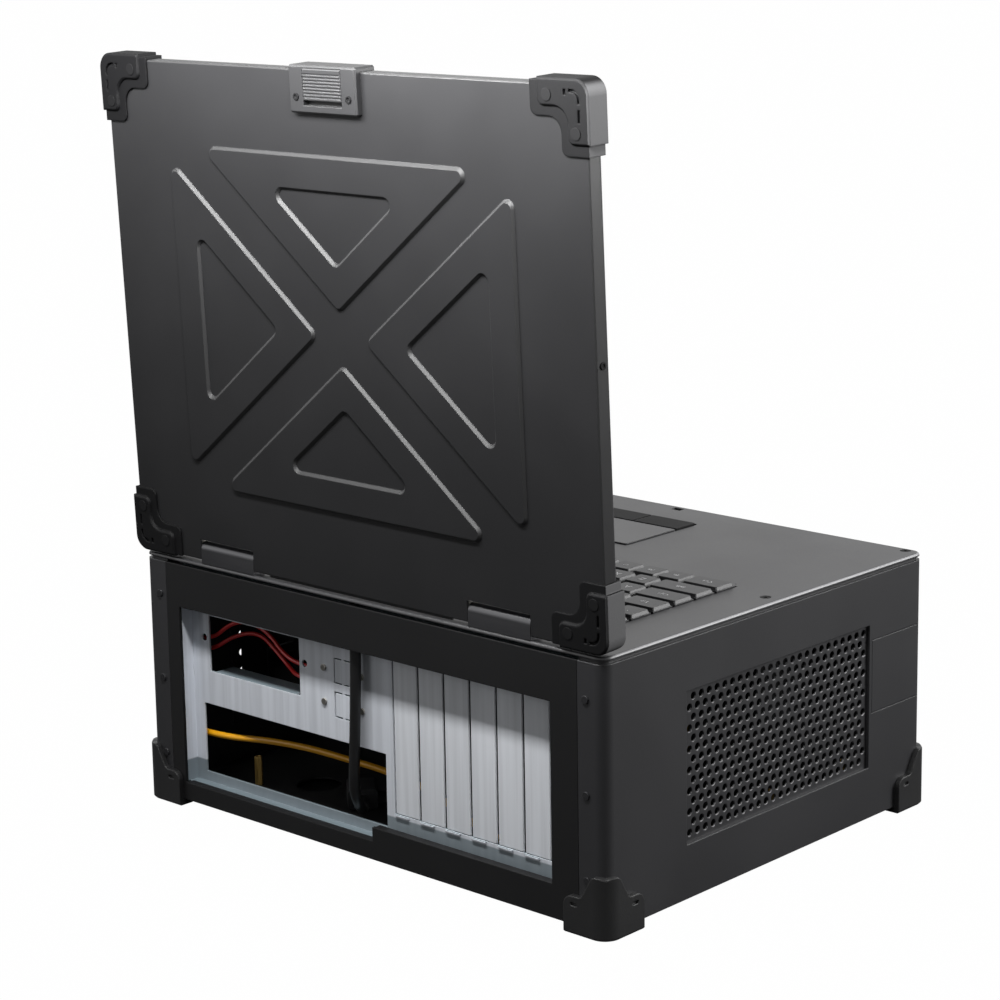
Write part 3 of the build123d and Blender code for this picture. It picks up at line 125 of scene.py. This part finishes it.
# One finish under construction
class Finish(NodeSheet):
    def __init__(self, name, fixed):
        self.material = bpy.data.materials.new(name)
        self.material.use_nodes = True
        super().__init__(self.material.node_tree)
        self.shader = self.tree.nodes["Principled BSDF"]
        for socketName, value in fixed.items():
            self.shader.inputs[socketName].default_value = value
        own = self.node("ShaderNodeTexCoord")
        self.place = own.outputs["Object"]
        self.turned = own.outputs["Normal"]
        self.plain = self.node("ShaderNodeNewGeometry").outputs["Normal"]

    def feed(self, socketName, value):
        source = value.socket if isinstance(value, Term) else value
        self.tree.links.new(source, self.shader.inputs[socketName])

    def noise(self, scale, detail=3.0, stretch=(1.0, 1.0, 1.0)):
        vector = self.node("ShaderNodeVectorMath", {"operation": "MULTIPLY"}, (self.place, stretch))
        values = {"Vector": vector.outputs[0], "Scale": scale, "Detail": detail}
        return Term(self, self.node("ShaderNodeTexNoise", None, values).outputs[0])

    def blend(self, factor, first, second):
        values = {mixSockets["factor"]: factor, mixSockets["first"]: first, mixSockets["second"]: second}
        return self.node("ShaderNodeMix", {"data_type": "RGBA"}, values).outputs[mixSockets["result"]]

    def rounded(self, radius):
        settings = {"samples": masks["edgeSamples"]}
        return self.node("ShaderNodeBevel", settings, {"Radius": radius}).outputs[0]

    def part(self, vector, axis):
        return Term(self, self.node("ShaderNodeSeparateXYZ", None, (vector,)).outputs[axis])

    def dot(self, first, second):
        node = self.node("ShaderNodeVectorMath", {"operation": "DOT_PRODUCT"}, (first, second))
        return Term(self, node.outputs["Value"])

    # Faces that lie level in the room
    def lying(self, low, high):
        return self.part(self.plain, "Z").smooth(low, high)

    # Faces that look along one of the piece's own axes, either way
    def facing(self, axis):
        return self.part(self.turned, axis).size().smooth(*masks["facing"])

    # Slopes that turn away from one flat face of the piece, in the piece's own axes
    def slopeMask(self, flat):
        turn = self.dot(self.turned, flat)
        return turn.smooth(*masks["slopeStart"]) * (1 - turn.smooth(*masks["slopeEnd"]))

    def edgeMask(self, radius):
        return (1 - self.dot(self.rounded(radius), self.plain)).smooth(*masks["edge"])

    def bump(self, height, strength, depth, radius):
        values = {"Strength": strength, "Distance": depth, "Height": height,
                  "Normal": self.rounded(radius)}
        self.feed("Normal", self.node("ShaderNodeBump", None, values).outputs[0])


# A screen colour, 0 to 255, as Blender's linear numbers
def tone(*values):
    parts = [v / 255 for v in values]
    return tuple((p / 12.92 if p <= 0.04 else ((p + 0.055) / 1.055) ** 2.4) for p in parts) + (1.0,)


def shifted(colour, factor):
    return tuple(min(c * factor, 1.0) for c in colour[:3]) + (1.0,)


# What all powder coats, plastics and rubbers share
grainy = {"mottleScale": 14.0, "mottleDetail": 4.0, "grainDetail": 2.0, "mottleStops": (0.35, 0.7),
          "mottleDrift": 0.1, "grainStops": (0.45, 0.8), "grainDrift": 0.08, "fleckLift": 2.2,
          "scuffAndSheenScale": 240.0, "scuffAndSheenStops": (0.3, 0.75), "scuffAndSheenLift": 2.5, "bumpDepth": 0.0002,
          "edgeRadius": 0.0007, "endShade": 0.3, "endShare": 0.8, "slopeShade": 0.4}


# Powder coats, plastics and rubber: mottling, fine grain, softened edges, and lighter edges that are
# partly a little wear and partly painted highlight
def grainyFinish(look):
    finish = Finish(look["name"], {"Specular IOR Level": look["specular"]})
    base = look["colour"]
    radius = look.get("edgeRadius", grainy["edgeRadius"])
    mottle = finish.noise(grainy["mottleScale"], grainy["mottleDetail"])
    grain = finish.noise(look["grainScale"], grainy["grainDetail"])
    dark, light = shifted(base, 1 - look["mottle"]), shifted(base, 1 + look["mottle"])
    body = finish.blend(mottle.smooth(*grainy["mottleStops"]), dark, light)
    fleck = grain.smooth(*grainy["grainStops"]) * look["fleck"]
    body = finish.blend(fleck, body, shifted(base, grainy["fleckLift"]))
    # Lighter edges: partly wear, partly a painted highlight on the rims
    scuffAndSheenMask = finish.edgeMask(radius) * finish.noise(grainy["scuffAndSheenScale"]).smooth(*grainy["scuffAndSheenStops"])
    body = finish.blend(scuffAndSheenMask * look["scuffAndSheen"], body, shifted(base, grainy["scuffAndSheenLift"]))
    roughness = mottle * grainy["mottleDrift"] + grain * grainy["grainDrift"]
    roughness = roughness + (look["roughness"] - (grainy["mottleDrift"] + grainy["grainDrift"]) / 2)
    # Painted highlight on upward-sloping rims and hole edges
    if "highlight" in look:
        body = paintedHighlightSlopes(finish, look, body)
    # Painted highlight: the outer faces along X get a lighter colour, as if lit from the side
    if "sideHighlightTone" in look:
        outer = finish.part(finish.place, "X").size().smooth(*look["sideHighlightReach"])
        body = finish.blend(finish.facing("X") * outer, body, look["sideHighlightTone"])
    # Painted shade: faces along the piece's own Z axis get a darker colour, as well as more roughness
    if "endShadeDull" in look:
        shadedEnds = finish.facing("Z")
        body = finish.blend(shadedEnds * grainy["endShare"], body, shifted(base, grainy["endShade"]))
        roughness = roughness + shadedEnds * look["endShadeDull"]
    # Painted shade: slopes that turn away from the flat face get a darker colour, toning down their
    # highlights, and more roughness
    if "flatFace" in look:
        slopes = finish.slopeMask(look["flatFace"])
        body = finish.blend(slopes * look["slopeDark"], body, shifted(base, grainy["slopeShade"]))
        roughness = roughness + slopes * look["slopeDull"]
    finish.feed("Base Color", body)
    finish.feed("Roughness", roughness)
    finish.bump(grain, look["bump"], grainy["bumpDepth"], radius)
    return finish.material


# Painted highlight: rims and hole edges that slope upward in the room get a light colour, which can fade
# out along the piece's Y axis towards its rear edge
def paintedHighlightSlopes(finish, look, body):
    low, high, fadeLow, fadeHigh = look["highlightSlopes"]
    sloping = finish.lying(low, high) * (1 - finish.lying(fadeLow, fadeHigh))
    if "highlightEnd" in look:
        sloping = sloping * (1 - finish.part(finish.place, "Y").smooth(*look["highlightEnd"]))
    return finish.blend(sloping * look["highlight"], body, look["highlightColour"])


# What all bare metals share
bare = {"brushStops": (0.3, 0.7), "brushDrift": 0.16, "stainScale": 9.0, "stainStops": (0.45, 0.75),
        "stainDrift": 0.1, "stainShade": 0.72, "edgeRadius": 0.0005, "edgeShine": 0.4, "edgeLift": 1.5,
        "bumpDepth": 0.0001, "ledgeShadeSlopes": (0.4, 0.9), "footShadeShare": 0.85}


# Bare metals: long brush marks along one axis, spangle or stain, softened edges
def metalFinish(look):
    finish = Finish(look["name"], {"Metallic": look["metallic"]})
    base = look["colour"]
    brush = finish.noise(look["brushScale"], stretch=look["brushStretch"])
    stain = finish.noise(bare["stainScale"])
    dark, light = shifted(base, 1 - look["contrast"]), shifted(base, 1 + look["contrast"])
    body = finish.blend(brush.smooth(*bare["brushStops"]), dark, light)
    stained = stain.smooth(*bare["stainStops"]) * look["stain"]
    body = finish.blend(stained, body, shifted(base, bare["stainShade"]))
    # Painted sheen: edges lighter all round
    scuffAndSheenMask = finish.edgeMask(bare["edgeRadius"])
    body = finish.blend(scuffAndSheenMask * bare["edgeShine"], body, shifted(base, bare["edgeLift"]))
    # Painted shade: level faces such as the sill, and a band along the sheet's foot, get a darker, bluer
    # colour
    if "ledgeShadeColour" in look:
        body = finish.blend(finish.lying(*bare["ledgeShadeSlopes"]), body, look["ledgeShadeColour"])
        footShade = 1 - finish.part(finish.place, "Z").smooth(*look["footShadeBand"])
        body = finish.blend(footShade * bare["footShadeShare"], body, look["ledgeShadeColour"])
    finish.feed("Base Color", body)
    drift = brush * bare["brushDrift"] + stain * bare["stainDrift"]
    finish.feed("Roughness", drift + (look["roughness"] - (bare["brushDrift"] + bare["stainDrift"]) / 2))
    finish.bump(brush, look["bump"], bare["bumpDepth"], bare["edgeRadius"])
    return finish.material


# The display's clear cover over a dark, switched-off screen
def coverFinish(look):
    finish = Finish(look["name"], {"Specular IOR Level": 0.5, "IOR": 1.5})
    haze = finish.noise(look["hazeScale"], look["hazeDetail"])
    lighter = shifted(look["colour"], look["hazeLift"])
    finish.feed("Base Color", finish.blend(haze.smooth(*look["hazeStops"]), look["colour"], lighter))
    finish.feed("Roughness", haze * look["hazeDrift"] + look["roughness"])
    return finish.material


# The lid's outer face as it stands open
lidFlat = (0.0, 0.9991, -0.0419)
coats = {
    "case": {"name": "casePowderCoat", "colour": tone(32, 32, 34), "roughness": 0.46, "mottle": 0.05,
             "fleck": 0.06, "grainScale": 1500.0, "bump": 0.2, "scuffAndSheen": 0.12, "specular": 0.5},
    # Vent plates: a painted highlight on upward hole rims, and edge lightening that is partly wear and
    # partly painted highlight
    "vent": {"name": "ventPowderCoat", "colour": tone(34, 34, 36), "roughness": 0.44, "mottle": 0.05,
             "fleck": 0.06, "grainScale": 1500.0, "bump": 0.2, "scuffAndSheen": 0.5, "specular": 0.5,
             "edgeRadius": 0.0008, "highlight": 0.9, "highlightSlopes": (0.15, 0.6, 2.0, 3.0),
             "highlightColour": tone(190, 190, 192)},
    "dull": {"name": "dullBlack", "colour": tone(9, 9, 10), "roughness": 0.66, "mottle": 0.06,
             "fleck": 0.0, "grainScale": 1200.0, "bump": 0.2, "scuffAndSheen": 0.05, "specular": 0.15},
    # Painted shade: a darker, duller copy of the case's coat for parts that lie in shade
    "rear": {"name": "rearShadedPowderCoat", "colour": tone(12, 12, 13), "roughness": 0.58, "mottle": 0.05,
             "fleck": 0.05, "grainScale": 1500.0, "bump": 0.2, "scuffAndSheen": 0.2, "specular": 0.22},
    # Deck: a painted highlight on its upward rims, fading out near the rear edge
    "deck": {"name": "deckPowderCoat", "colour": tone(34, 34, 36), "roughness": 0.44, "mottle": 0.04,
             "fleck": 0.06, "grainScale": 1500.0, "bump": 0.15, "scuffAndSheen": 0.4, "specular": 0.5,
             "highlight": 0.8, "highlightSlopes": (0.1, 0.4, 0.88, 0.98), "highlightColour": tone(150, 150, 152),
             "highlightEnd": (0.135, 0.146)},
    # Lid: painted shade on its pressed slopes and on the faces along its own Z axis
    "lid": {"name": "lidPowderCoat", "colour": tone(27, 27, 28), "roughness": 0.36, "mottle": 0.04,
            "fleck": 0.06, "grainScale": 1600.0, "bump": 0.12, "scuffAndSheen": 0.15, "specular": 0.5,
            "flatFace": lidFlat, "slopeDark": 0.6, "slopeDull": 0.24, "endShadeDull": 0.45},
    # Latch: painted shade on the faces along its own Z axis
    "latch": {"name": "latchPaint", "colour": tone(27, 27, 28), "roughness": 0.44, "mottle": 0.03,
              "fleck": 0.05, "grainScale": 1800.0, "bump": 0.12, "scuffAndSheen": 0.3, "specular": 0.5,
              "endShadeDull": 0.3},
    # Guards: a painted highlight on the outer sides along X, and painted shade on the faces along Z
    "guard": {"name": "guardRubber", "colour": tone(8, 8, 9), "roughness": 0.56, "mottle": 0.06,
              "fleck": 0.0, "grainScale": 900.0, "bump": 0.3, "scuffAndSheen": 0.1, "edgeRadius": 0.0012,
              "specular": 0.14, "sideHighlightTone": tone(92, 92, 93), "sideHighlightReach": (0.1865, 0.188),
              "endShadeDull": 0.25},
    "foot": {"name": "footRubber", "colour": tone(13, 13, 14), "roughness": 0.5, "mottle": 0.06,
             "fleck": 0.0, "grainScale": 900.0, "bump": 0.3, "scuffAndSheen": 0.15, "edgeRadius": 0.0012,
             "specular": 0.45},
    # Bezel: painted shade on the faces along its own Z axis
    "bezel": {"name": "bezelPaint", "colour": tone(40, 40, 42), "roughness": 0.46, "mottle": 0.04,
              "fleck": 0.05, "grainScale": 1500.0, "bump": 0.15, "scuffAndSheen": 0.3, "specular": 0.5,
              "endShadeDull": 0.35},
    "key": {"name": "keyPlastic", "colour": tone(25, 25, 27), "roughness": 0.46, "mottle": 0.04,
            "fleck": 0.0, "grainScale": 2200.0, "bump": 0.15, "scuffAndSheen": 0.3, "edgeRadius": 0.0006,
            "specular": 0.45},
    "plastic": {"name": "blackPlastic", "colour": tone(20, 20, 22), "roughness": 0.5, "mottle": 0.05,
                "fleck": 0.0, "grainScale": 1800.0, "bump": 0.2, "scuffAndSheen": 0.1, "specular": 0.3},
    "pad": {"name": "padPlastic", "colour": tone(35, 35, 37), "roughness": 0.4, "mottle": 0.04,
            "fleck": 0.0, "grainScale": 2400.0, "bump": 0.1, "scuffAndSheen": 0.2, "specular": 0.45},
    "grip": {"name": "gripRubber", "colour": tone(34, 34, 36), "roughness": 0.6, "mottle": 0.07,
             "fleck": 0.0, "grainScale": 700.0, "bump": 0.5, "scuffAndSheen": 0.15, "edgeRadius": 0.0015,
             "specular": 0.3},
    "jacket": {"name": "cableJacket", "colour": tone(10, 10, 11), "roughness": 0.42, "mottle": 0.05,
               "fleck": 0.0, "grainScale": 1200.0, "bump": 0.15, "scuffAndSheen": 0.0, "specular": 0.45},
    "yellow": {"name": "yellowJacket", "colour": tone(206, 146, 14), "roughness": 0.4, "mottle": 0.05,
               "fleck": 0.0, "grainScale": 1200.0, "bump": 0.1, "scuffAndSheen": 0.0, "specular": 0.4},
    "red": {"name": "redJacket", "colour": tone(196, 34, 34), "roughness": 0.4, "mottle": 0.06,
            "fleck": 0.0, "grainScale": 1200.0, "bump": 0.1, "scuffAndSheen": 0.0, "specular": 0.4},
}
metals = {
    # Zinc: painted shade on level faces and along the foot of the sheet
    "zinc": {"name": "zincSheet", "colour": tone(208, 212, 219), "metallic": 0.25, "roughness": 0.46,
             "contrast": 0.08, "brushScale": 260.0, "brushStretch": (1.0, 1.0, 0.03), "stain": 0.15,
             "bump": 0.1, "ledgeShadeColour": tone(112, 124, 130), "footShadeBand": (0.0278, 0.0290)},
    "slotZinc": {"name": "slotCoverZinc", "colour": tone(214, 217, 222), "metallic": 0.2,
                 "roughness": 0.46, "contrast": 0.06, "brushScale": 260.0,
                 "brushStretch": (1.0, 1.0, 0.03), "stain": 0.12, "bump": 0.1},
    "screw": {"name": "screwSteel", "colour": tone(150, 148, 142), "metallic": 0.9, "roughness": 0.36,
              "contrast": 0.08, "brushScale": 900.0, "brushStretch": (1.0, 1.0, 1.0), "stain": 0.3,
              "bump": 0.15},
    "darkScrew": {"name": "darkScrew", "colour": tone(52, 52, 54), "metallic": 0.6, "roughness": 0.38,
                  "contrast": 0.1, "brushScale": 900.0, "brushStretch": (1.0, 1.0, 1.0), "stain": 0.2,
                  "bump": 0.15},
    "hinge": {"name": "hingeMetal", "colour": tone(62, 62, 64), "metallic": 0.6, "roughness": 0.36,
              "contrast": 0.05, "brushScale": 400.0, "brushStretch": (0.05, 1.0, 1.0), "stain": 0.1,
              "bump": 0.15},
    "drive": {"name": "driveAluminium", "colour": tone(160, 162, 164), "metallic": 0.8,
              "roughness": 0.42, "contrast": 0.05, "brushScale": 300.0,
              "brushStretch": (1.0, 0.05, 1.0), "stain": 0.1, "bump": 0.15},
    "brass": {"name": "pillarBrass", "colour": tone(190, 158, 92), "metallic": 0.9, "roughness": 0.35,
              "contrast": 0.06, "brushScale": 700.0, "brushStretch": (1.0, 1.0, 0.2), "stain": 0.2,
              "bump": 0.15},
}
coverLook = {"name": "displayCover", "colour": tone(17, 18, 21), "roughness": 0.2, "hazeScale": 7.0,
             "hazeDetail": 2.0, "hazeStops": (0.3, 0.7), "hazeLift": 1.25, "hazeDrift": 0.05}
materials = {key: grainyFinish(look) for key, look in coats.items()}
materials.update({key: metalFinish(look) for key, look in metals.items()})
materials["cover"] = coverFinish(coverLook)
print("stage: materials made,", len(materials))

wearers = {
    "case": ["side_panel_left", "side_panel_right", "front_panel", "drive_drawer", "bottom_plate",
             "handle_brackets"],
    "vent": ["vent_plate_left", "vent_plate_right"],
    # Rear frame, board tray and drive cage wear the shaded copy of the case's coat
    "rear": ["rear_frame", "board_tray", "drive_cage"],
    "deck": ["deck_plate"],
    "lid": ["lid_cover"],
    "bezel": ["lid_bezel"],
    "latch": ["latch_plate", "latch_button"],
    "guard": ["lid_guards"],
    "foot": ["base_guards"],
    "key": ["function_row_keys", "number_row_keys", "tab_row_keys", "caps_row_keys", "shift_row_keys",
            "ctrl_row_keys", "space_bar", "enter_key", "power_button", "keyboard_base"],
    "pad": ["touchpad"],
    "dull": ["touch_button_left", "touch_button_right", "deck_screws", "lid_screws", "lid_guard_caps"],
    "plastic": ["fan_frames", "fan_rotor_rear", "fan_rotor_front", "power_switch", "display_plug",
                "supply_plug", "signal_plug", "lead_clips"],
    "grip": ["carry_handle"],
    "jacket": ["display_cable", "display_gland"],
    "yellow": ["supply_lead"],
    "red": ["signal_leads"],
    "zinc": ["rear_bulkhead", "display_panel"],
    "slotZinc": ["slot_covers"],
    "screw": ["pan_screws", "bulkhead_screws", "hinge_pins", "hinge_leaves", "handle_pins"],
    "darkScrew": ["panel_screws"],
    "hinge": ["hinge_blocks"],
    "drive": ["hard_drives"],
    "brass": ["standoffs"],
    "cover": ["display_glass"],
}
for key, nodes in wearers.items():
    for node in nodes:
        mesh = nodeObjects[node].data
        mesh.materials.clear()
        mesh.materials.append(materials[key])
unfinished = sorted(set(nodeObjects) - {n for nodes in wearers.values() for n in nodes})
print("stage: nodes finished, without a finish:", unfinished)


# Key legends: plain characters printed on the key tops, one mesh for each row
keyPitch = 0.01905
rowUnits = 15.75
legendLook = {"name": "legendInk", "colour": tone(225, 225, 226), "roughness": 0.5, "mottle": 0.03,
              "fleck": 0.0, "grainScale": 1800.0, "bump": 0.1, "scuffAndSheen": 0.0, "specular": 0.3}
legendHeight = 0.0062
wordScale = 0.62
legendLift = 0.00006
legendSteps = 3
legendRows = {
    "function_row": {"node": "function_row_keys", "units": [rowUnits / 16] * 16,
                     "marks": (["Esc"] + ["F%d" % number for number in range(1, 13)]
                               + ["Ins", "Del", "End"])},
    "number_row": {"node": "number_row_keys", "units": [1.0] * 13 + [1.75, 1.0],
                   "marks": list("`1234567890-=") + ["Back", "Hm"]},
    "tab_row": {"node": "tab_row_keys", "units": [1.5] + [1.0] * 12 + [1.25, 1.0],
                "marks": ["Tab"] + list("QWERTYUIOP[]\\") + ["Up"]},
    "caps_row": {"node": "caps_row_keys", "units": [1.75] + [1.0] * 11 + [-2.0, 1.0],
                 "marks": ["Caps"] + list("ASDFGHJKL;'") + ["", "Dn"]},
    "shift_row": {"node": "shift_row_keys", "units": [2.0] + [1.0] * 10 + [1.75, 1.0, 1.0],
                  "marks": ["Shift"] + list("ZXCVBNM,./") + ["Shift", "^", "Num"]},
    "ctrl_row": {"node": "ctrl_row_keys", "units": [1.5, 1.0, 1.0, 1.0, -5.25] + [1.0] * 6,
                 "marks": ["Ctrl", "Fn", "Alt", "=", "", "Alt", "Fn", "Ctrl", "<", "v", ">"]},
}


def legendMesh(mark, place):
    curve = bpy.data.curves.new("mark", "FONT")
    curve.body = mark
    curve.size = legendHeight if len(mark) == 1 else legendHeight * wordScale
    curve.align_x = "CENTER"
    curve.align_y = "CENTER"
    curve.extrude = legendLift / 2
    curve.resolution_u = legendSteps
    stand = bpy.data.objects.new("mark", curve)
    mesh = bpy.data.meshes.new_from_object(stand)
    mesh.transform(Matrix.Translation(place))
    bpy.data.objects.remove(stand)
    bpy.data.curves.remove(curve)
    return mesh


def legendRow(body, facts, ink):
    low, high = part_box(facts["node"])
    across = (low[1] + high[1]) / 2
    left = -rowUnits * keyPitch / 2
    whole = bmesh.new()
    for unit, mark in zip(facts["units"], facts["marks"]):
        width = abs(unit) * keyPitch
        if mark:
            mesh = legendMesh(mark, Vector((left + width / 2, across, high[2] + legendLift / 2)))
            whole.from_mesh(mesh)
            bpy.data.meshes.remove(mesh)
        left += width
    mesh = bpy.data.meshes.new(body + "Legends")
    whole.to_mesh(mesh)
    whole.free()
    piece = bpy.data.objects.new(body + "Legends", mesh)
    bpy.context.scene.collection.objects.link(piece)
    mesh.materials.append(ink)
    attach(piece, body)


ink = grainyFinish(legendLook)
for body, facts in legendRows.items():
    legendRow(body, facts, ink)
print("stage: key legends printed")


# Cables: the routes are the part's own, in millimetres above the case's underside
footDrop = 4.0
cableShape = {"roundness": 6, "steps": 24, "order": 3}
cables = {
    "displayCable": {
        "node": "display_cable", "finish": "jacket", "diameter": 0.0065, "length": 0.1561,
        "slot": "cable_jacket",
        "route": [(8.8, 142.3, 140.0), (8.8, 142.3, 122.0), (10.0, 142.3, 92.0), (12.0, 142.3, 58.0),
                  (13.8, 142.0, 36.0), (17.0, 134.0, 22.5), (27.0, 121.0, 14.5), (41.0, 108.5, 14.5)],
        "farEnd": "plug", "goesWith": ["display_plug", "display_gland"]},
    "supplyLead": {
        "node": "supply_lead", "finish": "yellow", "diameter": 0.004, "length": 0.2484,
        "slot": "yellow_plastic",
        "route": [(158.0, 131.4, 40.0), (140.0, 131.4, 40.0), (106.0, 127.0, 43.6), (72.0, 123.6, 45.0),
                  (42.0, 121.4, 44.0), (10.0, 117.6, 42.0), (-20.0, 113.0, 36.0), (-42.0, 107.0, 23.0),
                  (-60.0, 103.0, 13.0), (-82.0, 103.0, 13.0)],
        "farEnd": "plug", "goesWith": ["supply_plug"]},
    "signalLeadUpper": {
        "node": "signal_leads", "finish": "red", "diameter": 0.0026, "length": 0.1173,
        "slot": "red_plastic",
        "route": [(159.0, 131.8, 101.0), (147.0, 131.8, 101.0), (131.0, 129.6, 114.0),
                  (116.0, 128.0, 117.5), (99.0, 127.6, 113.0), (86.0, 128.6, 103.0),
                  (70.0, 131.8, 100.0), (52.0, 131.8, 100.0)],
        "farEnd": "object", "goesWith": []},
    "signalLeadLower": {
        "node": "signal_leads", "finish": "red", "diameter": 0.0026, "length": 0.1173,
        "slot": "red_plastic",
        "route": [(159.0, 131.8, 94.0), (147.0, 131.8, 94.0), (136.0, 123.0, 104.0), (119.0, 117.0, 107.5),
                  (104.0, 117.0, 98.0), (88.0, 121.0, 91.5), (70.0, 131.8, 92.0), (52.0, 131.8, 92.0)],
        "farEnd": "object", "goesWith": []},
}


def cablePiece(name, facts):
    curve = bpy.data.curves.new(name, "CURVE")
    curve.dimensions = "3D"
    curve.bevel_depth = facts["diameter"] / 2
    curve.bevel_resolution = cableShape["roundness"]
    curve.resolution_u = cableShape["steps"]
    curve.use_fill_caps = True
    spline = curve.splines.new("NURBS")
    points = [(x / 1000, y / 1000, (z + footDrop) / 1000) for x, y, z in facts["route"]]
    spline.points.add(len(points) - 1)
    for point, place in zip(spline.points, points):
        point.co = (*place, 1.0)
    spline.order_u = cableShape["order"]
    spline.use_endpoint_u = True
    piece = bpy.data.objects.new(name, curve)
    bpy.context.scene.collection.objects.link(piece)
    curve.materials.append(materials[facts["finish"]])
    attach(piece, "case")
    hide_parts(facts["node"])


for name, facts in cables.items():
    cablePiece(name, facts)
print("stage: cables laid")


# Studio: floor, world, lamps and the camera that was fitted to the photograph
plainWhite = (1.0, 1.0, 1.0, 1.0)
studio = {
    "floorSize": 60.0, "floorColour": (0.08, 0.08, 0.08, 1.0), "floorWhite": 0.995, "worldLight": 0.08,
    "lamps": [
        {"name": "topBox", "place": (-0.05, 0.33, 0.6), "aim": (-0.05, 0.0, 0.58),
         "size": (0.48, 0.12), "watts": 13.5},
        {"name": "rearPanel", "place": (2.0, 1.9, 0.95), "aim": (0.0, 0.15, 0.3),
         "size": (2.4, 1.0), "watts": 12.0},
        {"name": "backdropBox", "place": (1.5, -1.6, 0.55), "aim": (0.0, 0.0, 0.15),
         "size": (2.4, 1.0), "watts": 1.5},
        {"name": "sideKey", "place": (-1.2, -1.0, 0.75), "aim": (-0.15, -0.05, 0.2),
         "size": (0.7, 0.7), "watts": 32.0},
    ],
}


# 1 for the kinds of ray that are named, 0 for the others
def seenRays(sheet, kinds):
    rays = sheet.node("ShaderNodeLightPath")
    seen = Term(sheet, rays.outputs[kinds[0]])
    for kind in kinds[1:]:
        seen = seen.made("MAXIMUM", seen, rays.outputs[kind])
    return seen


def paperFloor():
    paper = bpy.data.materials.new("floorPaper")
    paper.use_nodes = True
    paper.node_tree.nodes.clear()
    sheet = NodeSheet(paper.node_tree)
    white = seenRays(sheet, ("Is Camera Ray", "Is Transmission Ray")) * studio["floorWhite"]
    matt = sheet.node("ShaderNodeBsdfDiffuse", None, {"Color": studio["floorColour"]})
    glow = sheet.node("ShaderNodeEmission", None, {"Color": plainWhite})
    mix = sheet.node("ShaderNodeMixShader", None, (white, matt.outputs[0], glow.outputs[0]))
    sheet.node("ShaderNodeOutputMaterial", None, {"Surface": mix.outputs[0]})
    return paper


def makeFloor():
    mesh = bpy.data.meshes.new("floor")
    half = studio["floorSize"] / 2
    corners = [(-half, -half, 0), (half, -half, 0), (half, half, 0), (-half, half, 0)]
    mesh.from_pydata(corners, [], [(0, 1, 2, 3)])
    floor = bpy.data.objects.new("floor", mesh)
    bpy.context.scene.collection.objects.link(floor)
    mesh.materials.append(paperFloor())


def makeWorld():
    world = bpy.data.worlds.new("studio")
    bpy.context.scene.world = world
    world.use_nodes = True
    world.node_tree.nodes.clear()
    sheet = NodeSheet(world.node_tree)
    seen = seenRays(sheet, ("Is Camera Ray", "Is Transmission Ray", "Is Glossy Ray"))
    fillValues = {"Color": plainWhite, "Strength": studio["worldLight"]}
    fill = sheet.node("ShaderNodeBackground", None, fillValues)
    back = sheet.node("ShaderNodeBackground", None, {"Color": plainWhite, "Strength": 1.0})
    mix = sheet.node("ShaderNodeMixShader", None, (seen, fill.outputs[0], back.outputs[0]))
    sheet.node("ShaderNodeOutputWorld", None, {"Surface": mix.outputs[0]})


def makeLamp(facts):
    lamp = bpy.data.lights.new(facts["name"], "AREA")
    lamp.shape = "RECTANGLE"
    lamp.size, lamp.size_y = facts["size"]
    lamp.energy = facts["watts"]
    stand = bpy.data.objects.new(facts["name"], lamp)
    bpy.context.scene.collection.objects.link(stand)
    stand.location = facts["place"]
    aim = Vector(facts["aim"]) - Vector(facts["place"])
    stand.rotation_euler = aim.to_track_quat("-Z", "Y").to_euler()
    stand.visible_camera = False


view = {
    "place": (-1.1013, 1.2103, 0.5714), "forward": (0.65988, -0.72264, -0.20582),
    "right": (-0.74040, -0.67202, -0.01430), "lens": 99.15, "sensor": 36.0,
    "shift": (-0.0243, -0.0582), "clip": (0.05, 200.0),
}


def makeCamera():
    camera = bpy.data.cameras.new("photoCamera")
    camera.lens = view["lens"]
    camera.sensor_width = view["sensor"]
    camera.shift_x, camera.shift_y = view["shift"]
    camera.clip_start, camera.clip_end = view["clip"]
    eye = bpy.data.objects.new("photoCamera", camera)
    bpy.context.scene.collection.objects.link(eye)
    forward = Vector(view["forward"]).normalized()
    right = Vector(view["right"]).normalized()
    up = right.cross(forward).normalized()
    turn = Matrix((right, up, -forward)).transposed().to_4x4()
    eye.matrix_world = Matrix.Translation(Vector(view["place"])) @ turn
    bpy.context.scene.camera = eye


makeFloor()
makeWorld()
for facts in studio["lamps"]:
    makeLamp(facts)
makeCamera()
bpy.context.scene.view_settings.view_transform = "Standard"
print("stage: studio and camera set")
